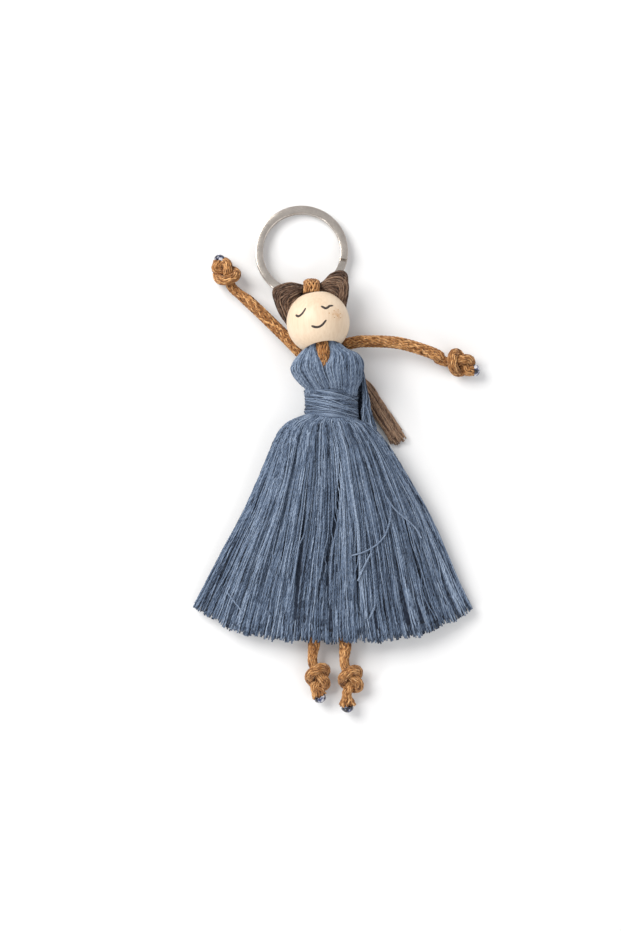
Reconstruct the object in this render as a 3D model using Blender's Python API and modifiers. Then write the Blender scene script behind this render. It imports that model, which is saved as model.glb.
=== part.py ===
"""Yarn doll on a split key ring, lying on its back, built piece by piece.

Blender 4.5, metres, +Z up. The doll's back rests on z = 0 and its head points to +Y.
A body cord is folded over the key ring, goes through a wooden bead and the dress and
ends in two knotted legs. A second cord crosses behind the neck and ends in two knotted
arms. A hank of dark yarn goes through the cord loop above the bead, round the back of
the head, and is tied at the nape. The dress is a hank of blue yarn folded over the arm
cord, bound at the waist and spread into a skirt. Places are shares of BODY_LENGTH.
"""
import bpy
import bmesh
import math
import numpy as np
from mathutils import Matrix, Vector

# Driving sizes, in metres
BODY_LENGTH = 0.100
CLEARANCE = 0.00035
WELD_DISTANCE = 0.00001
ORIGIN_SHARE = (-0.00248, -0.00200, 0.0)

# Key ring
RING_OUTER = 0.030
RING_WIRE_WIDTH = 0.00256
RING_COIL_HEIGHT = 0.00120
RING_COIL_GAP = 0.00020
RING_CHAMFER = 0.00022
RING_REACH = 0.00209
RING_SIDE_DEGREES = 16.285
RING_TURNS_DEGREES = 675.0
RING_STEP_DEGREES = (320.0, 355.0)
RING_START_DEGREES = -47.0
RING_POINTS_A_TURN = 36

# Head bead
BEAD_DIAMETER = 0.020
BEAD_BORE = 0.0100
BEAD_MOUTH_ROUND = 0.00060
NECK_SHARE = (-0.057, 0.334, 0.038)
HEAD_TILT = math.radians(10.0)
HEAD_PITCH = math.radians(15.0)

# Cords
CORD_DIAMETER = 0.0042
LEG_DIAMETER = 0.0039
LOOP_WIDTH = 0.0048
LOOP_THICKNESS = 0.0020
LOOP_SPAN = 0.100
RUN_OFFSET = 0.0020
NECK_CORD_DIAMETER = 0.0036
KNOT_PITCH = 0.0028
KNOT_CORD_DIAMETER = 0.00210
KNOT_TAPER_POINTS = 6
TIP_LENGTH = 0.0022
TIP_DIAMETER = 0.0031

# Windings
WAIST_TURNS = 7
WAIST_YARN = 0.00085
WAIST_WRAP_PITCH = 0.00130
TIE_TURNS = 3
TIE_YARN = 0.00055
TIE_PITCH = 0.00105
POINTS_A_LOOP = 24

# Waist
WAIST_SHARE = (-0.014, 0.1745, 0.077)
WAIST_WIDTH = 0.0177
WAIST_DEPTH = 0.0124
WAIST_HEIGHT = 0.0098
WAIST_DRAW_SHARE = 0.14

# Skirt
SKIRT_WAIST_TOP = 0.0136
SKIRT_HEM_TOP = 0.0077
SKIRT_WAIST_EDGE = 0.0100
SKIRT_HEM_EDGE = 0.0036
SKIRT_WAIST_BACK = 0.0030
SKIRT_WAIST_EDGE_BACK = 0.0058
SKIRT_LEG_ROOM = 0.0050
SKIRT_HEM_SAG = 0.0113
SKIRT_WAIST_SAG = 0.0004
SKIRT_FOLDS = 7
SKIRT_FOLD_DEPTH = 0.00040
SKIRT_ROWS = 10
SKIRT_COLUMNS = 28

MATERIALS = {
    "steel": ((0.52, 0.51, 0.50), 0.34, 1.0),
    "wood": ((0.83, 0.69, 0.51), 0.55, 0.0),
    "tan_cord": ((0.42, 0.19, 0.055), 0.85, 0.0),
    "brown_yarn": ((0.105, 0.062, 0.045), 0.88, 0.0),
    "blue_yarn": ((0.085, 0.140, 0.245), 0.86, 0.0),
    "sealed_end": ((0.050, 0.055, 0.090), 0.22, 0.0),
}

# Cord routes, as shares of BODY_LENGTH, chosen by hand
ARM_MIDDLE_ROUTE_SHARES = (
    (-0.0925, 0.3335, 0.0690),
    (-0.080, 0.3255, 0.0650),
    (-0.040, 0.3110, 0.0610),
    (-0.008, 0.3280, 0.0595),
    (0.0065, 0.3475, 0.0592),
)
ARM_LEFT_ROUTE_SHARES = (
    (-0.115, 0.347, 0.074),
    (-0.170, 0.401, 0.071),
    (-0.236, 0.466, 0.065),
    (-0.280, 0.508, 0.058),
)
HAND_LEFT_KNOT_SHARE = (-0.358, 0.590, 0.043)
ARM_RIGHT_ROUTE_SHARES = (
    (0.024, 0.367, 0.061),
    (0.055, 0.374, 0.069),
    (0.093, 0.378, 0.075),
    (0.197, 0.374, 0.064),
    (0.290, 0.350, 0.055),
)
HAND_RIGHT_KNOT_SHARE = (0.397, 0.309, 0.043)
LEG_LEFT_ROUTE_SHARES = (
    (-0.040, 0.101, 0.0800),
    (-0.047, 0.000, 0.0685),
    (-0.055, -0.200, 0.0535),
    (-0.062, -0.400, 0.0455),
    (-0.066, -0.592, 0.0410),
)
FOOT_LEFT_KNOT_SHARE = (-0.063, -0.700, 0.043)
LEG_RIGHT_ROUTE_SHARES = (
    (0.012, 0.101, 0.0800),
    (0.014, 0.000, 0.0685),
    (0.022, -0.200, 0.0535),
    (0.029, -0.400, 0.0455),
    (0.034, -0.605, 0.0410),
)
FOOT_RIGHT_KNOT_SHARE = (0.046, -0.708, 0.043)
# Where the two runs of the body cord go below the bead
NECK_FRONT_ROUTE_SHARES = (
    (-0.040, 0.337, 0.182),
    (-0.037, 0.316, 0.167),
    (-0.037, 0.294, 0.144),
    (-0.030, 0.270, 0.126),
    (-0.020, 0.246, 0.113),
    (-0.018, 0.230, 0.110),
)
NECK_BACK_ROUTE_SHARES = (
    (-0.056, 0.331, 0.132),
    (-0.070, 0.315, 0.119),
    (-0.064, 0.296, 0.108),
    (-0.056, 0.272, 0.089),
    (-0.046, 0.246, 0.072),
    (-0.042, 0.230, 0.068),
)
# The loop over the ring's wire: the share of the way from the bead's upper mouth to the wire, then
# (along +Y, along +Z) from there as shares of LOOP_SPAN
LOOP_ROUTE_SHARES = (
    (0.0, 0.0110, 0.0220),
    (0.1, 0.0288, 0.0235),
    (0.4, 0.0434, 0.0270),
    (0.8, 0.0452, 0.0269),
    (1.0, 0.0404, 0.0129),
    (1.0, 0.0334, -0.0141),
    (1.0, 0.0144, -0.0281),
    (1.0, -0.0096, -0.0281),
    (1.0, -0.0271, -0.0161),
    (1.0, -0.0321, 0.0009),
    (0.8, -0.0243, 0.0039),
    (0.5, -0.0118, -0.0025),
    (0.2, -0.0038, -0.0075),
)
# Half of a tight overhand knot from its middle outwards, as shares of KNOT_PITCH
KNOT_ROUTE_SHARES = (
    (0.00, 0.93, 0.00),
    (-0.25, 0.91, 0.46),
    (-0.66, 0.61, 0.94),
    (-1.03, 0.03, 1.02),
    (-1.15, -0.56, 0.69),
    (-0.91, -0.90, 0.15),
    (-0.43, -0.84, -0.34),
    (0.08, -0.41, -0.49),
    (0.52, 0.01, -0.17),
    (1.10, 0.34, -0.05),
    (1.66, 0.56, 0.00),
)
KNOT_CENTRE_SHARE = (0.0, 0.36, 0.0)
# Two steps from each knot to the cord's cut end, as shares of KNOT_PITCH, and where they turn
HAND_LEFT_END_SHARES = (0.20, 0.25)
HAND_RIGHT_END_SHARES = (0.15, 0.15)
FOOT_LEFT_END_SHARES = (0.45, 0.30)
FOOT_RIGHT_END_SHARES = (0.75, 0.50)
HAND_LEFT_END_TURN = math.radians(-32.0)

# Hair sections: inner edge, outer edge and thickness. Those round the bead are shares of
# BEAD_DIAMETER measured from the bead's middle, and the rest are shares of BODY_LENGTH
HAIR_LEFT_BEAD_SHARES = (
    (-0.095, 0.515, -0.260, -0.095, 0.635, -0.260, 0.145),
    (-0.235, 0.485, -0.255, -0.235, 0.630, -0.245, 0.175),
    (-0.315, 0.380, -0.220, -0.455, 0.655, -0.160, 0.240),
    (-0.345, 0.300, -0.240, -0.645, 0.610, -0.160, 0.250),
    (-0.355, 0.230, -0.280, -0.730, 0.510, -0.190, 0.250),
    (-0.335, 0.140, -0.350, -0.700, 0.360, -0.240, 0.250),
    (-0.305, 0.060, -0.420, -0.635, 0.190, -0.300, 0.230),
    (-0.245, -0.050, -0.510, -0.535, 0.040, -0.410, 0.200),
    (-0.145, -0.200, -0.607, -0.395, -0.180, -0.540, 0.180),
)
HAIR_LEFT_SHARES = (
    (-0.06, 0.366, 0.0155, -0.09, 0.352, 0.017, 0.033),
    (-0.026, 0.345, 0.017, -0.042, 0.325, 0.017, 0.024),
    (0.0094, 0.3232, 0.0185, -0.0074, 0.3088, 0.0185, 0.018),
    (0.0324, 0.2962, 0.0185, 0.0156, 0.2818, 0.0185, 0.018),
)
HAIR_RIGHT_BEAD_SHARES = (
    (-0.070, 0.515, -0.260, -0.070, 0.635, -0.260, 0.145),
    (0.065, 0.490, -0.250, 0.065, 0.670, -0.230, 0.190),
    (0.165, 0.460, -0.220, 0.205, 0.795, -0.170, 0.240),
    (0.215, 0.430, -0.230, 0.355, 0.845, -0.160, 0.250),
    (0.255, 0.390, -0.260, 0.455, 0.800, -0.170, 0.250),
    (0.265, 0.340, -0.300, 0.490, 0.650, -0.200, 0.250),
    (0.255, 0.270, -0.360, 0.485, 0.460, -0.250, 0.240),
    (0.240, 0.160, -0.440, 0.455, 0.300, -0.320, 0.220),
    (0.225, -0.020, -0.540, 0.425, 0.070, -0.450, 0.200),
)
HAIR_RIGHT_SHARES = (
    (-0.012, 0.394, 0.0155, 0.026, 0.4, 0.0165, 0.033),
    (-0.004, 0.362, 0.017, 0.03, 0.366, 0.017, 0.028),
    (0.012, 0.339, 0.017, 0.036, 0.35, 0.017, 0.022),
    (0.0176, 0.3228, 0.0185, 0.0344, 0.3372, 0.0185, 0.018),
    (0.0376, 0.2988, 0.0185, 0.0544, 0.3132, 0.0185, 0.018),
)
# Bundles: place of the middle, then width and height, as shares of BODY_LENGTH
PONYTAIL_SHARES = (
    (0.0398, 0.2920, 0.0150, 0.010, 0.012),
    (0.0450, 0.2860, 0.0150, 0.028, 0.019),
    (0.058, 0.271, 0.0150, 0.042, 0.023),
    (0.102, 0.221, 0.0145, 0.050, 0.023),
    (0.156, 0.138, 0.0140, 0.056, 0.022),
    (0.212, 0.050, 0.0130, 0.062, 0.020),
)
SIDE_STRANDS_SHARES = (
    (0.094, 0.270, 0.080, 0.014, 0.018),
    (0.104, 0.225, 0.080, 0.020, 0.026),
    (0.119, 0.160, 0.075, 0.028, 0.030),
    (0.132, 0.107, 0.072, 0.026, 0.026),
)
# Bodice sections: level over the waist, left, right, back and front, as shares of BODY_LENGTH
BODICE_LEFT_SHARES = (
    (0.0005, -0.1, -0.016, 0.028, 0.134),
    (0.0230, -0.123, -0.0245, 0.034, 0.154),
    (0.0550, -0.143, -0.04, 0.039, 0.172),
    (0.0750, -0.138, -0.048, 0.042, 0.178),
    (0.0910, -0.128, -0.055, 0.048, 0.182),
    (0.1070, -0.11, -0.062, 0.062, 0.184),
    (0.1200, -0.092, -0.068, 0.11, 0.183),
)
BODICE_RIGHT_SHARES = (
    (0.0005, -0.0125, 0.072, 0.028, 0.134),
    (0.0230, -0.021, 0.083, 0.034, 0.153),
    (0.0610, -0.0365, 0.089, 0.039, 0.17),
    (0.0830, -0.031, 0.086, 0.042, 0.176),
    (0.1010, -0.025, 0.077, 0.047, 0.18),
    (0.1170, -0.02, 0.056, 0.06, 0.183),
    (0.1290, -0.02, 0.014, 0.11, 0.183),
)
SKIRT_LEFT_SHARES = (
    (-0.1, -0.002),
    (-0.176, -0.024),
    (-0.203, -0.072),
    (-0.243, -0.168),
    (-0.298, -0.290),
    (-0.36, -0.404),
    (-0.415, -0.508),
    (-0.465, -0.602),
)
SKIRT_RIGHT_SHARES = (
    (0.072, -0.002),
    (0.142, -0.042),
    (0.182, -0.096),
    (0.234, -0.180),
    (0.296, -0.286),
    (0.348, -0.394),
    (0.395, -0.506),
    (0.447, -0.608),
)

ARM_LEFT_SWING = (math.radians(-4.0), math.radians(60.0))
ARM_RIGHT_SWING = (math.radians(-20.0), math.radians(25.0))
ARM_ROOM_REACH_SHARE = 1.6


def place(share):
    """A point from its shares of BODY_LENGTH."""
    return (Vector(share) + Vector(ORIGIN_SHARE)) * BODY_LENGTH


def places(shares):
    return [place(share) for share in shares]


HEAD = place(NECK_SHARE) + Vector((0, BEAD_DIAMETER / 2, BEAD_DIAMETER / 2))
HEAD_TURN = Matrix.Rotation(HEAD_TILT, 4, "Z") @ Matrix.Rotation(-HEAD_PITCH, 4, "X")
HEAD_AXIS = (HEAD_TURN @ Vector((0, 1, 0))).normalized()
HEAD_FRONT = (HEAD_TURN @ Vector((0, 0, 1))).normalized()
MOUTH_DISTANCE = math.sqrt((BEAD_DIAMETER / 2) ** 2 - (BEAD_BORE / 2) ** 2)
TOP_MOUTH = HEAD + HEAD_AXIS * MOUTH_DISTANCE
BOTTOM_MOUTH = HEAD - HEAD_AXIS * MOUTH_DISTANCE


WAIST = place(WAIST_SHARE)
DRESS_TOP_LEVEL = WAIST.y + WAIST_HEIGHT / 2 + CLEARANCE
DRESS_LOW_LEVEL = WAIST.y - WAIST_HEIGHT / 2 - CLEARANCE


def clear_scene():
    for thing in list(bpy.data.objects):
        bpy.data.objects.remove(thing, do_unlink=True)


def new_collection(name):
    group = bpy.data.collections.new(name)
    bpy.context.scene.collection.children.link(group)
    return group


def make_material(name):
    colour, roughness, metallic = MATERIALS[name]
    surface = bpy.data.materials.new(name)
    surface.use_nodes = True
    shader = surface.node_tree.nodes["Principled BSDF"]
    shader.inputs["Base Color"].default_value = (*colour, 1.0)
    shader.inputs["Roughness"].default_value = roughness
    shader.inputs["Metallic"].default_value = metallic
    surface.diffuse_color = (*colour, 1.0)
    return surface


def add_object(name, data, surface, origin):
    """Link an object whose data is measured from its own origin."""
    thing = bpy.data.objects.new(name, data)
    thing.location = origin
    if surface is None:
        thing.hide_render = True
        thing.display_type = "WIRE"
        CUTTERS.objects.link(thing)
    else:
        data.materials.append(SURFACES[surface])
        PARTS.objects.link(thing)
    return thing


def smooth_route(points, steps):
    """Points along a centripetal Catmull-Rom curve through the given points."""
    knots = [np.array(p, dtype=float) for p in points]
    knots = [2 * knots[0] - knots[1]] + knots + [2 * knots[-1] - knots[-2]]
    route = []
    for k in range(1, len(knots) - 2):
        a, b, c, d = knots[k - 1:k + 3]
        t1 = math.sqrt(np.linalg.norm(b - a))
        t2 = t1 + math.sqrt(np.linalg.norm(c - b))
        t3 = t2 + math.sqrt(np.linalg.norm(d - c))
        for t in np.linspace(t1, t2, steps, endpoint=False):
            ab = (a * (t1 - t) + b * t) / t1
            bc = (b * (t2 - t) + c * (t - t1)) / (t2 - t1)
            cd = (c * (t3 - t) + d * (t - t2)) / (t3 - t2)
            abc = (ab * (t2 - t) + bc * t) / t2
            bcd = (bc * (t3 - t) + cd * (t - t1)) / (t3 - t1)
            route.append((abc * (t2 - t) + bcd * (t - t1)) / (t2 - t1))
    route.append(knots[-2])
    return np.array(route)


def tube(name, route, radii, surface, origin, sides=2):
    """A cord or yarn: a poly curve with a round bevel, filled caps and a radius a point."""
    curve = bpy.data.curves.new(name, "CURVE")
    curve.dimensions = "3D"
    curve.bevel_depth = 1.0
    curve.bevel_resolution = sides
    curve.use_fill_caps = True
    line = curve.splines.new("POLY")
    line.points.add(len(route) - 1)
    for point, spot, radius in zip(line.points, route, radii):
        point.co = (*(Vector(spot) - Vector(origin)), 1.0)
        point.radius = radius
    return add_object(name, curve, surface, origin)


def as_mesh(thing):
    """Turn a curve object into a mesh object with welded caps, in the same place."""
    graph = bpy.context.evaluated_depsgraph_get()
    graph.update()
    mesh = bpy.data.meshes.new_from_object(thing.evaluated_get(graph))
    shell = bmesh.new()
    shell.from_mesh(mesh)
    bmesh.ops.remove_doubles(shell, verts=shell.verts, dist=WELD_DISTANCE)
    bmesh.ops.recalc_face_normals(shell, faces=shell.faces)
    shell.to_mesh(mesh)
    shell.free()
    name = thing.name
    group = thing.users_collection[0]
    solid = bpy.data.objects.new(name, mesh)
    group.objects.link(solid)
    solid.matrix_world = thing.matrix_world.copy()
    solid.hide_render = thing.hide_render
    solid.display_type = thing.display_type
    bpy.data.objects.remove(thing, do_unlink=True)
    solid.name = name
    return solid


def loft(name, rings, surface, origin):
    """A closed body through a row of rings that all have as many points."""
    shell = bmesh.new()
    rows = [[shell.verts.new(Vector(p) - Vector(origin)) for p in ring] for ring in rings]
    count = len(rows[0])
    for low, high in zip(rows, rows[1:]):
        for k in range(count):
            after = (k + 1) % count
            shell.faces.new((low[k], low[after], high[after], high[k]))
    shell.faces.new(rows[0][::-1])
    shell.faces.new(rows[-1])
    bmesh.ops.recalc_face_normals(shell, faces=shell.faces)
    mesh = bpy.data.meshes.new(name)
    shell.to_mesh(mesh)
    shell.free()
    mesh.shade_smooth()
    mesh.set_sharp_from_angle(angle=math.radians(50.0))
    return add_object(name, mesh, surface, origin)


def bundle(name, shares, surface, origin=None, steps=2, sides=14, across=Vector((0, 0, 1))):
    """A soft bundle of yarn: ovals of changing width and height along a smooth route."""
    rows = np.array(shares)
    middle = smooth_route(places(rows[:, :3]), steps)
    places_in = np.linspace(0, len(rows) - 1, len(middle))
    wide = np.interp(places_in, range(len(rows)), rows[:, 3]) * BODY_LENGTH / 2
    high = np.interp(places_in, range(len(rows)), rows[:, 4]) * BODY_LENGTH / 2
    ahead = np.gradient(middle, axis=0)
    rings = []
    for spot, way, half_width, half_height in zip(middle, ahead, wide, high):
        way = Vector(way).normalized()
        side = way.cross(across).normalized()
        up = side.cross(way).normalized()
        ring = []
        for k in range(sides):
            turn = 2 * math.pi * k / sides
            out = side * (half_width * math.cos(turn)) + up * (half_height * math.sin(turn))
            ring.append(Vector(spot) + out)
        rings.append(ring)
    return loft(name, rings, surface, origin or Vector(middle[0]))


def hair_rows(bead_shares, shares):
    """Sections of a lock in metres: first those that go with the bead, then the body's."""
    near = np.array(bead_shares) * BEAD_DIAMETER + (*HEAD, *HEAD, 0)
    far = (np.array(shares) + (*ORIGIN_SHARE, *ORIGIN_SHARE, 0)) * BODY_LENGTH
    return np.vstack([near, far])


def lock_of_hair(name, rows, sides=14):
    """A flat bundle that fans out round a corner: ovals between two edge lines."""
    inner, outer = rows[:, :3], rows[:, 3:6]
    ahead = np.gradient((inner + outer) / 2, axis=0)
    rings = []
    for start, end, way, thickness in zip(inner, outer, ahead, rows[:, 6]):
        across = Vector(end - start) / 2
        up = across.cross(Vector(way)).normalized()
        if up.z < 0:
            up = -up
        ring = []
        for k in range(sides):
            turn = 2 * math.pi * k / sides
            out = across * math.cos(turn) + up * (thickness / 2 * math.sin(turn))
            ring.append(Vector(start) + across + out)
        rings.append(ring)
    return loft(name, rings, "brown_yarn", rings[0][0])


def cut(thing, *cutters):
    for cutter in cutters:
        step = thing.modifiers.new("cut by " + cutter.name, "BOOLEAN")
        step.operation = "DIFFERENCE"
        step.solver = "EXACT"
        step.use_self = True
        step.object = cutter


def ball_cutter(name, centre, radius):
    shell = bmesh.new()
    bmesh.ops.create_uvsphere(shell, u_segments=32, v_segments=20, radius=radius)
    mesh = bpy.data.meshes.new(name)
    shell.to_mesh(mesh)
    shell.free()
    ball = add_object(name, mesh, None, centre)
    ball.rotation_euler = (HEAD_TURN @ Matrix.Rotation(-math.pi / 2, 4, "X")).to_euler()
    return ball


def floor_cutter():
    """All that lies under the surface the doll rests on."""
    shell = bmesh.new()
    bmesh.ops.create_cube(shell, size=1.0)
    depth = BODY_LENGTH / 10
    bmesh.ops.scale(shell, vec=(2 * BODY_LENGTH, 2 * BODY_LENGTH, depth), verts=shell.verts)
    mesh = bpy.data.meshes.new("floor_cutter")
    shell.to_mesh(mesh)
    shell.free()
    return add_object("floor_cutter", mesh, None, (0, 0, -depth / 2))


def swing_cutter(name, hinge, heading, swing, reach, radius, bottom, top):
    """The flat space that a cord sweeps when it turns about a vertical axis."""
    first, last = heading + swing[0], heading + swing[1]
    turns = [(reach, first - radius / reach)]
    turns += [(reach, a) for a in np.linspace(first, last, 7)]
    turns += [(reach, last + radius / reach)]
    turns += [(radius, a) for a in np.linspace(last + math.pi / 2, first + 1.5 * math.pi, 7)]
    shell = bmesh.new()
    outline = []
    for length, angle in turns:
        spot = (length * math.cos(angle), length * math.sin(angle), bottom - hinge.z)
        outline.append(shell.verts.new(spot))
    base = shell.faces.new(outline)
    grown = bmesh.ops.extrude_face_region(shell, geom=[base])
    lifted = [v for v in grown["geom"] if isinstance(v, bmesh.types.BMVert)]
    bmesh.ops.translate(shell, vec=(0, 0, top - bottom), verts=lifted)
    bmesh.ops.recalc_face_normals(shell, faces=shell.faces)
    mesh = bpy.data.meshes.new(name)
    shell.to_mesh(mesh)
    shell.free()
    return add_object(name, mesh, None, hinge)


def least_gap(route, radii):
    """The least gap between stretches of a tube that aren't neighbours along it."""
    route = np.array([tuple(p) for p in route])
    radii = np.array(radii)
    along = np.concatenate([[0], np.cumsum(np.linalg.norm(np.diff(route, axis=0), axis=1))])
    apart = np.linalg.norm(route[:, None] - route[None], axis=2)
    gap = apart - radii[:, None] - radii[None]
    near = np.abs(along[:, None] - along[None]) < 1.8 * (radii[:, None] + radii[None])
    return float(np.min(np.where(near, np.inf, gap)))


def key_ring():
    """Nearly two turns of flat wire; one turn steps up onto the other near +X."""
    count = int(RING_POINTS_A_TURN * RING_TURNS_DEGREES / 360)
    outer = RING_OUTER / 2
    middle = outer - RING_WIRE_WIDTH / 2
    rise = RING_COIL_HEIGHT + RING_COIL_GAP
    low_step, high_step = RING_STEP_DEGREES
    curve = bpy.data.curves.new("key_ring", "CURVE")
    curve.dimensions = "3D"
    curve.twist_mode = "Z_UP"
    curve.use_fill_caps = True
    line = curve.splines.new("POLY")
    line.points.add(count)
    for k in range(count + 1):
        turn = RING_TURNS_DEGREES * k / count
        share = min(max((turn - low_step) / (high_step - low_step), 0.0), 1.0)
        level = rise * (share * share * (3 - 2 * share) - 0.5)
        angle = math.radians(RING_START_DEGREES - turn)
        line.points[k].co = (middle * math.cos(angle), middle * math.sin(angle), level, 1)
    section = bpy.data.curves.new("ring_section", "CURVE")
    section.dimensions = "2D"
    edge = section.splines.new("POLY")
    half_width, half_height = RING_WIRE_WIDTH / 2, RING_COIL_HEIGHT / 2
    corners = []
    for sx, sy in ((1, 1), (-1, 1), (-1, -1), (1, -1)):
        across = (sx * (half_width - RING_CHAMFER), sy * half_height)
        upward = (sx * half_width, sy * (half_height - RING_CHAMFER))
        corners += [upward, across] if sx * sy > 0 else [across, upward]
    edge.points.add(len(corners) - 1)
    for point, corner in zip(edge.points, corners):
        point.co = (*corner, 0, 1)
    edge.use_cyclic_u = True
    guide = add_object("ring_section", section, None, (0, 0, 0))
    curve.bevel_mode = "OBJECT"
    curve.bevel_object = guide
    ring = add_object("key_ring", curve, "steel", ring_centre())
    ring.rotation_euler = (-ring_lean(), 0, 0)
    ring = as_mesh(ring)
    bpy.data.objects.remove(guide, do_unlink=True)
    return ring


def ring_height():
    return 2 * RING_COIL_HEIGHT + RING_COIL_GAP


def ring_lean():
    """The near side rests on the flattened cord loop, the far side on the floor."""
    lift = LOOP_THICKNESS + 2 * CLEARANCE
    return math.asin(lift / (RING_OUTER - RING_WIRE_WIDTH))


def ring_centre():
    """The wire runs through the loop, a little way beyond the bead's upper mouth."""
    middle = (RING_OUTER - RING_WIRE_WIDTH) / 2
    side = math.radians(RING_SIDE_DEGREES)
    low = ring_height() / 2 * math.cos(ring_lean()) + RING_OUTER / 2 * math.sin(ring_lean())
    near = TOP_MOUTH.y + RING_REACH
    return Vector((TOP_MOUTH.x - middle * math.sin(side), near + middle * math.cos(side), low))


def wire_in_loop():
    """The middle of the ring's wire where the cord loop goes round it."""
    middle = (RING_OUTER - RING_WIRE_WIDTH) / 2 * math.cos(math.radians(RING_SIDE_DEGREES))
    centre, lean = ring_centre(), ring_lean()
    near = centre.y - middle * math.cos(lean)
    return Vector((TOP_MOUTH.x, near, centre.z + middle * math.sin(lean)))


def head_bead():
    """A turned bead with a wide bore, rounded where the bore opens."""
    radius, bore = BEAD_DIAMETER / 2, BEAD_BORE / 2
    first = math.asin((bore + BEAD_MOUTH_ROUND) / radius)
    profile = []
    for angle in np.linspace(first, math.pi - first, 17):
        profile.append((radius * math.sin(angle), radius * math.cos(angle)))
    top = profile[0][1]
    deep = top - BEAD_MOUTH_ROUND
    rounded = bore + BEAD_MOUTH_ROUND * (1 - math.sin(math.radians(45.0)))
    near = top - BEAD_MOUTH_ROUND * (1 - math.cos(math.radians(45.0)))
    profile += [(rounded, -near), (bore, -deep), (bore, 0), (bore, deep), (rounded, near)]
    mesh = bpy.data.meshes.new("head_bead")
    spots = [(x, 0, z) for x, z in profile]
    edges = [(k, (k + 1) % len(spots)) for k in range(len(spots))]
    mesh.from_pydata(spots, edges, [])
    bead = add_object("head_bead", mesh, "wood", HEAD)
    bead.rotation_euler = (HEAD_TURN @ Matrix.Rotation(-math.pi / 2, 4, "X")).to_euler()
    turned = bead.modifiers.new("turn", "SCREW")
    turned.axis = "Z"
    turned.steps = 32
    turned.render_steps = 32
    turned.use_merge_vertices = True
    turned.merge_threshold = WELD_DISTANCE
    turned.use_smooth_shade = True
    return bead


def cord_loop():
    """The body cord where it is folded over the ring's wire and pressed flat."""
    wire = wire_in_loop()
    route = []
    for share, y, z in LOOP_ROUTE_SHARES:
        route.append(TOP_MOUTH.lerp(wire, share) + Vector((0, y, z)) * LOOP_SPAN)
    middle = smooth_route(route, 2)
    ahead = np.gradient(middle, axis=0)
    sides = 10
    rings = []
    for spot, way in zip(middle, ahead):
        way = Vector(way).normalized()
        side = Vector((1, 0, 0))
        up = side.cross(way).normalized()
        ring = []
        for k in range(sides):
            turn = 2 * math.pi * (k + 0.5) / sides
            across = side * (LOOP_WIDTH / 2 * math.cos(turn))
            ring.append(Vector(spot) + across + up * (LOOP_THICKNESS / 2 * math.sin(turn)))
        rings.append(ring)
    return loft("cord_loop", rings, "tan_cord", TOP_MOUTH)


def neck_route(side, shares):
    """One run of the body cord: straight through the bore, then down into the dress."""
    across = HEAD_FRONT * (side * RUN_OFFSET)
    drop = LOOP_THICKNESS
    inside = [TOP_MOUTH - HEAD_AXIS * drop + across, HEAD + across]
    return inside + [BOTTOM_MOUTH + across] + places(shares)


def room_round(name, route, radius):
    """A cutter for what lies round a cord, grown by the clearance and past both ends."""
    first = Vector(route[0] - route[1]).normalized() * radius
    last = Vector(route[-1] - route[-2]).normalized() * radius
    grown = [Vector(route[0]) + first, *route, Vector(route[-1]) + last]
    radii = [radius + CLEARANCE] * len(grown)
    return as_mesh(tube(name + "_room", grown, radii, None, grown[0]))


def neck_cord(name, side, shares):
    route = smooth_route(neck_route(side, shares), 3)
    cord = tube(name, route, [NECK_CORD_DIAMETER / 2] * len(route), "tan_cord", route[0])
    return cord, room_round(name, route, NECK_CORD_DIAMETER / 2)


def arm_cord_middle():
    route = smooth_route(places(ARM_MIDDLE_ROUTE_SHARES), 3)
    radius = CORD_DIAMETER / 2
    cord = tube("arm_cord_middle", route, [radius] * len(route), "tan_cord", route[0])
    return cord, room_round("arm_cord_middle", route, radius)


def clear_of_bead(points, radius):
    """A cord's points, those too near the bead moved straight out from its middle."""
    least = BEAD_DIAMETER / 2 + CLEARANCE + radius
    moved = []
    for point in points:
        away = point - HEAD
        moved.append(HEAD + away.normalized() * max(away.length, least))
    return moved


def knot_points(centre, heading, mirrored):
    """The route of a tight overhand knot that runs along a heading in the floor's plane."""
    along = Vector((math.cos(heading), math.sin(heading), 0))
    side = Vector((-along.y, along.x, 0)) * (-1 if mirrored else 1)
    up = Vector((0, 0, 1))
    outward = [Vector(share) - Vector(KNOT_CENTRE_SHARE) for share in KNOT_ROUTE_SHARES]
    inward = [Vector((-s.x, s.y, -s.z)) for s in outward[:0:-1]]
    spots = inward + outward
    return [centre + (along * s.x + side * s.y + up * s.z) * KNOT_PITCH for s in spots]


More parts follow.
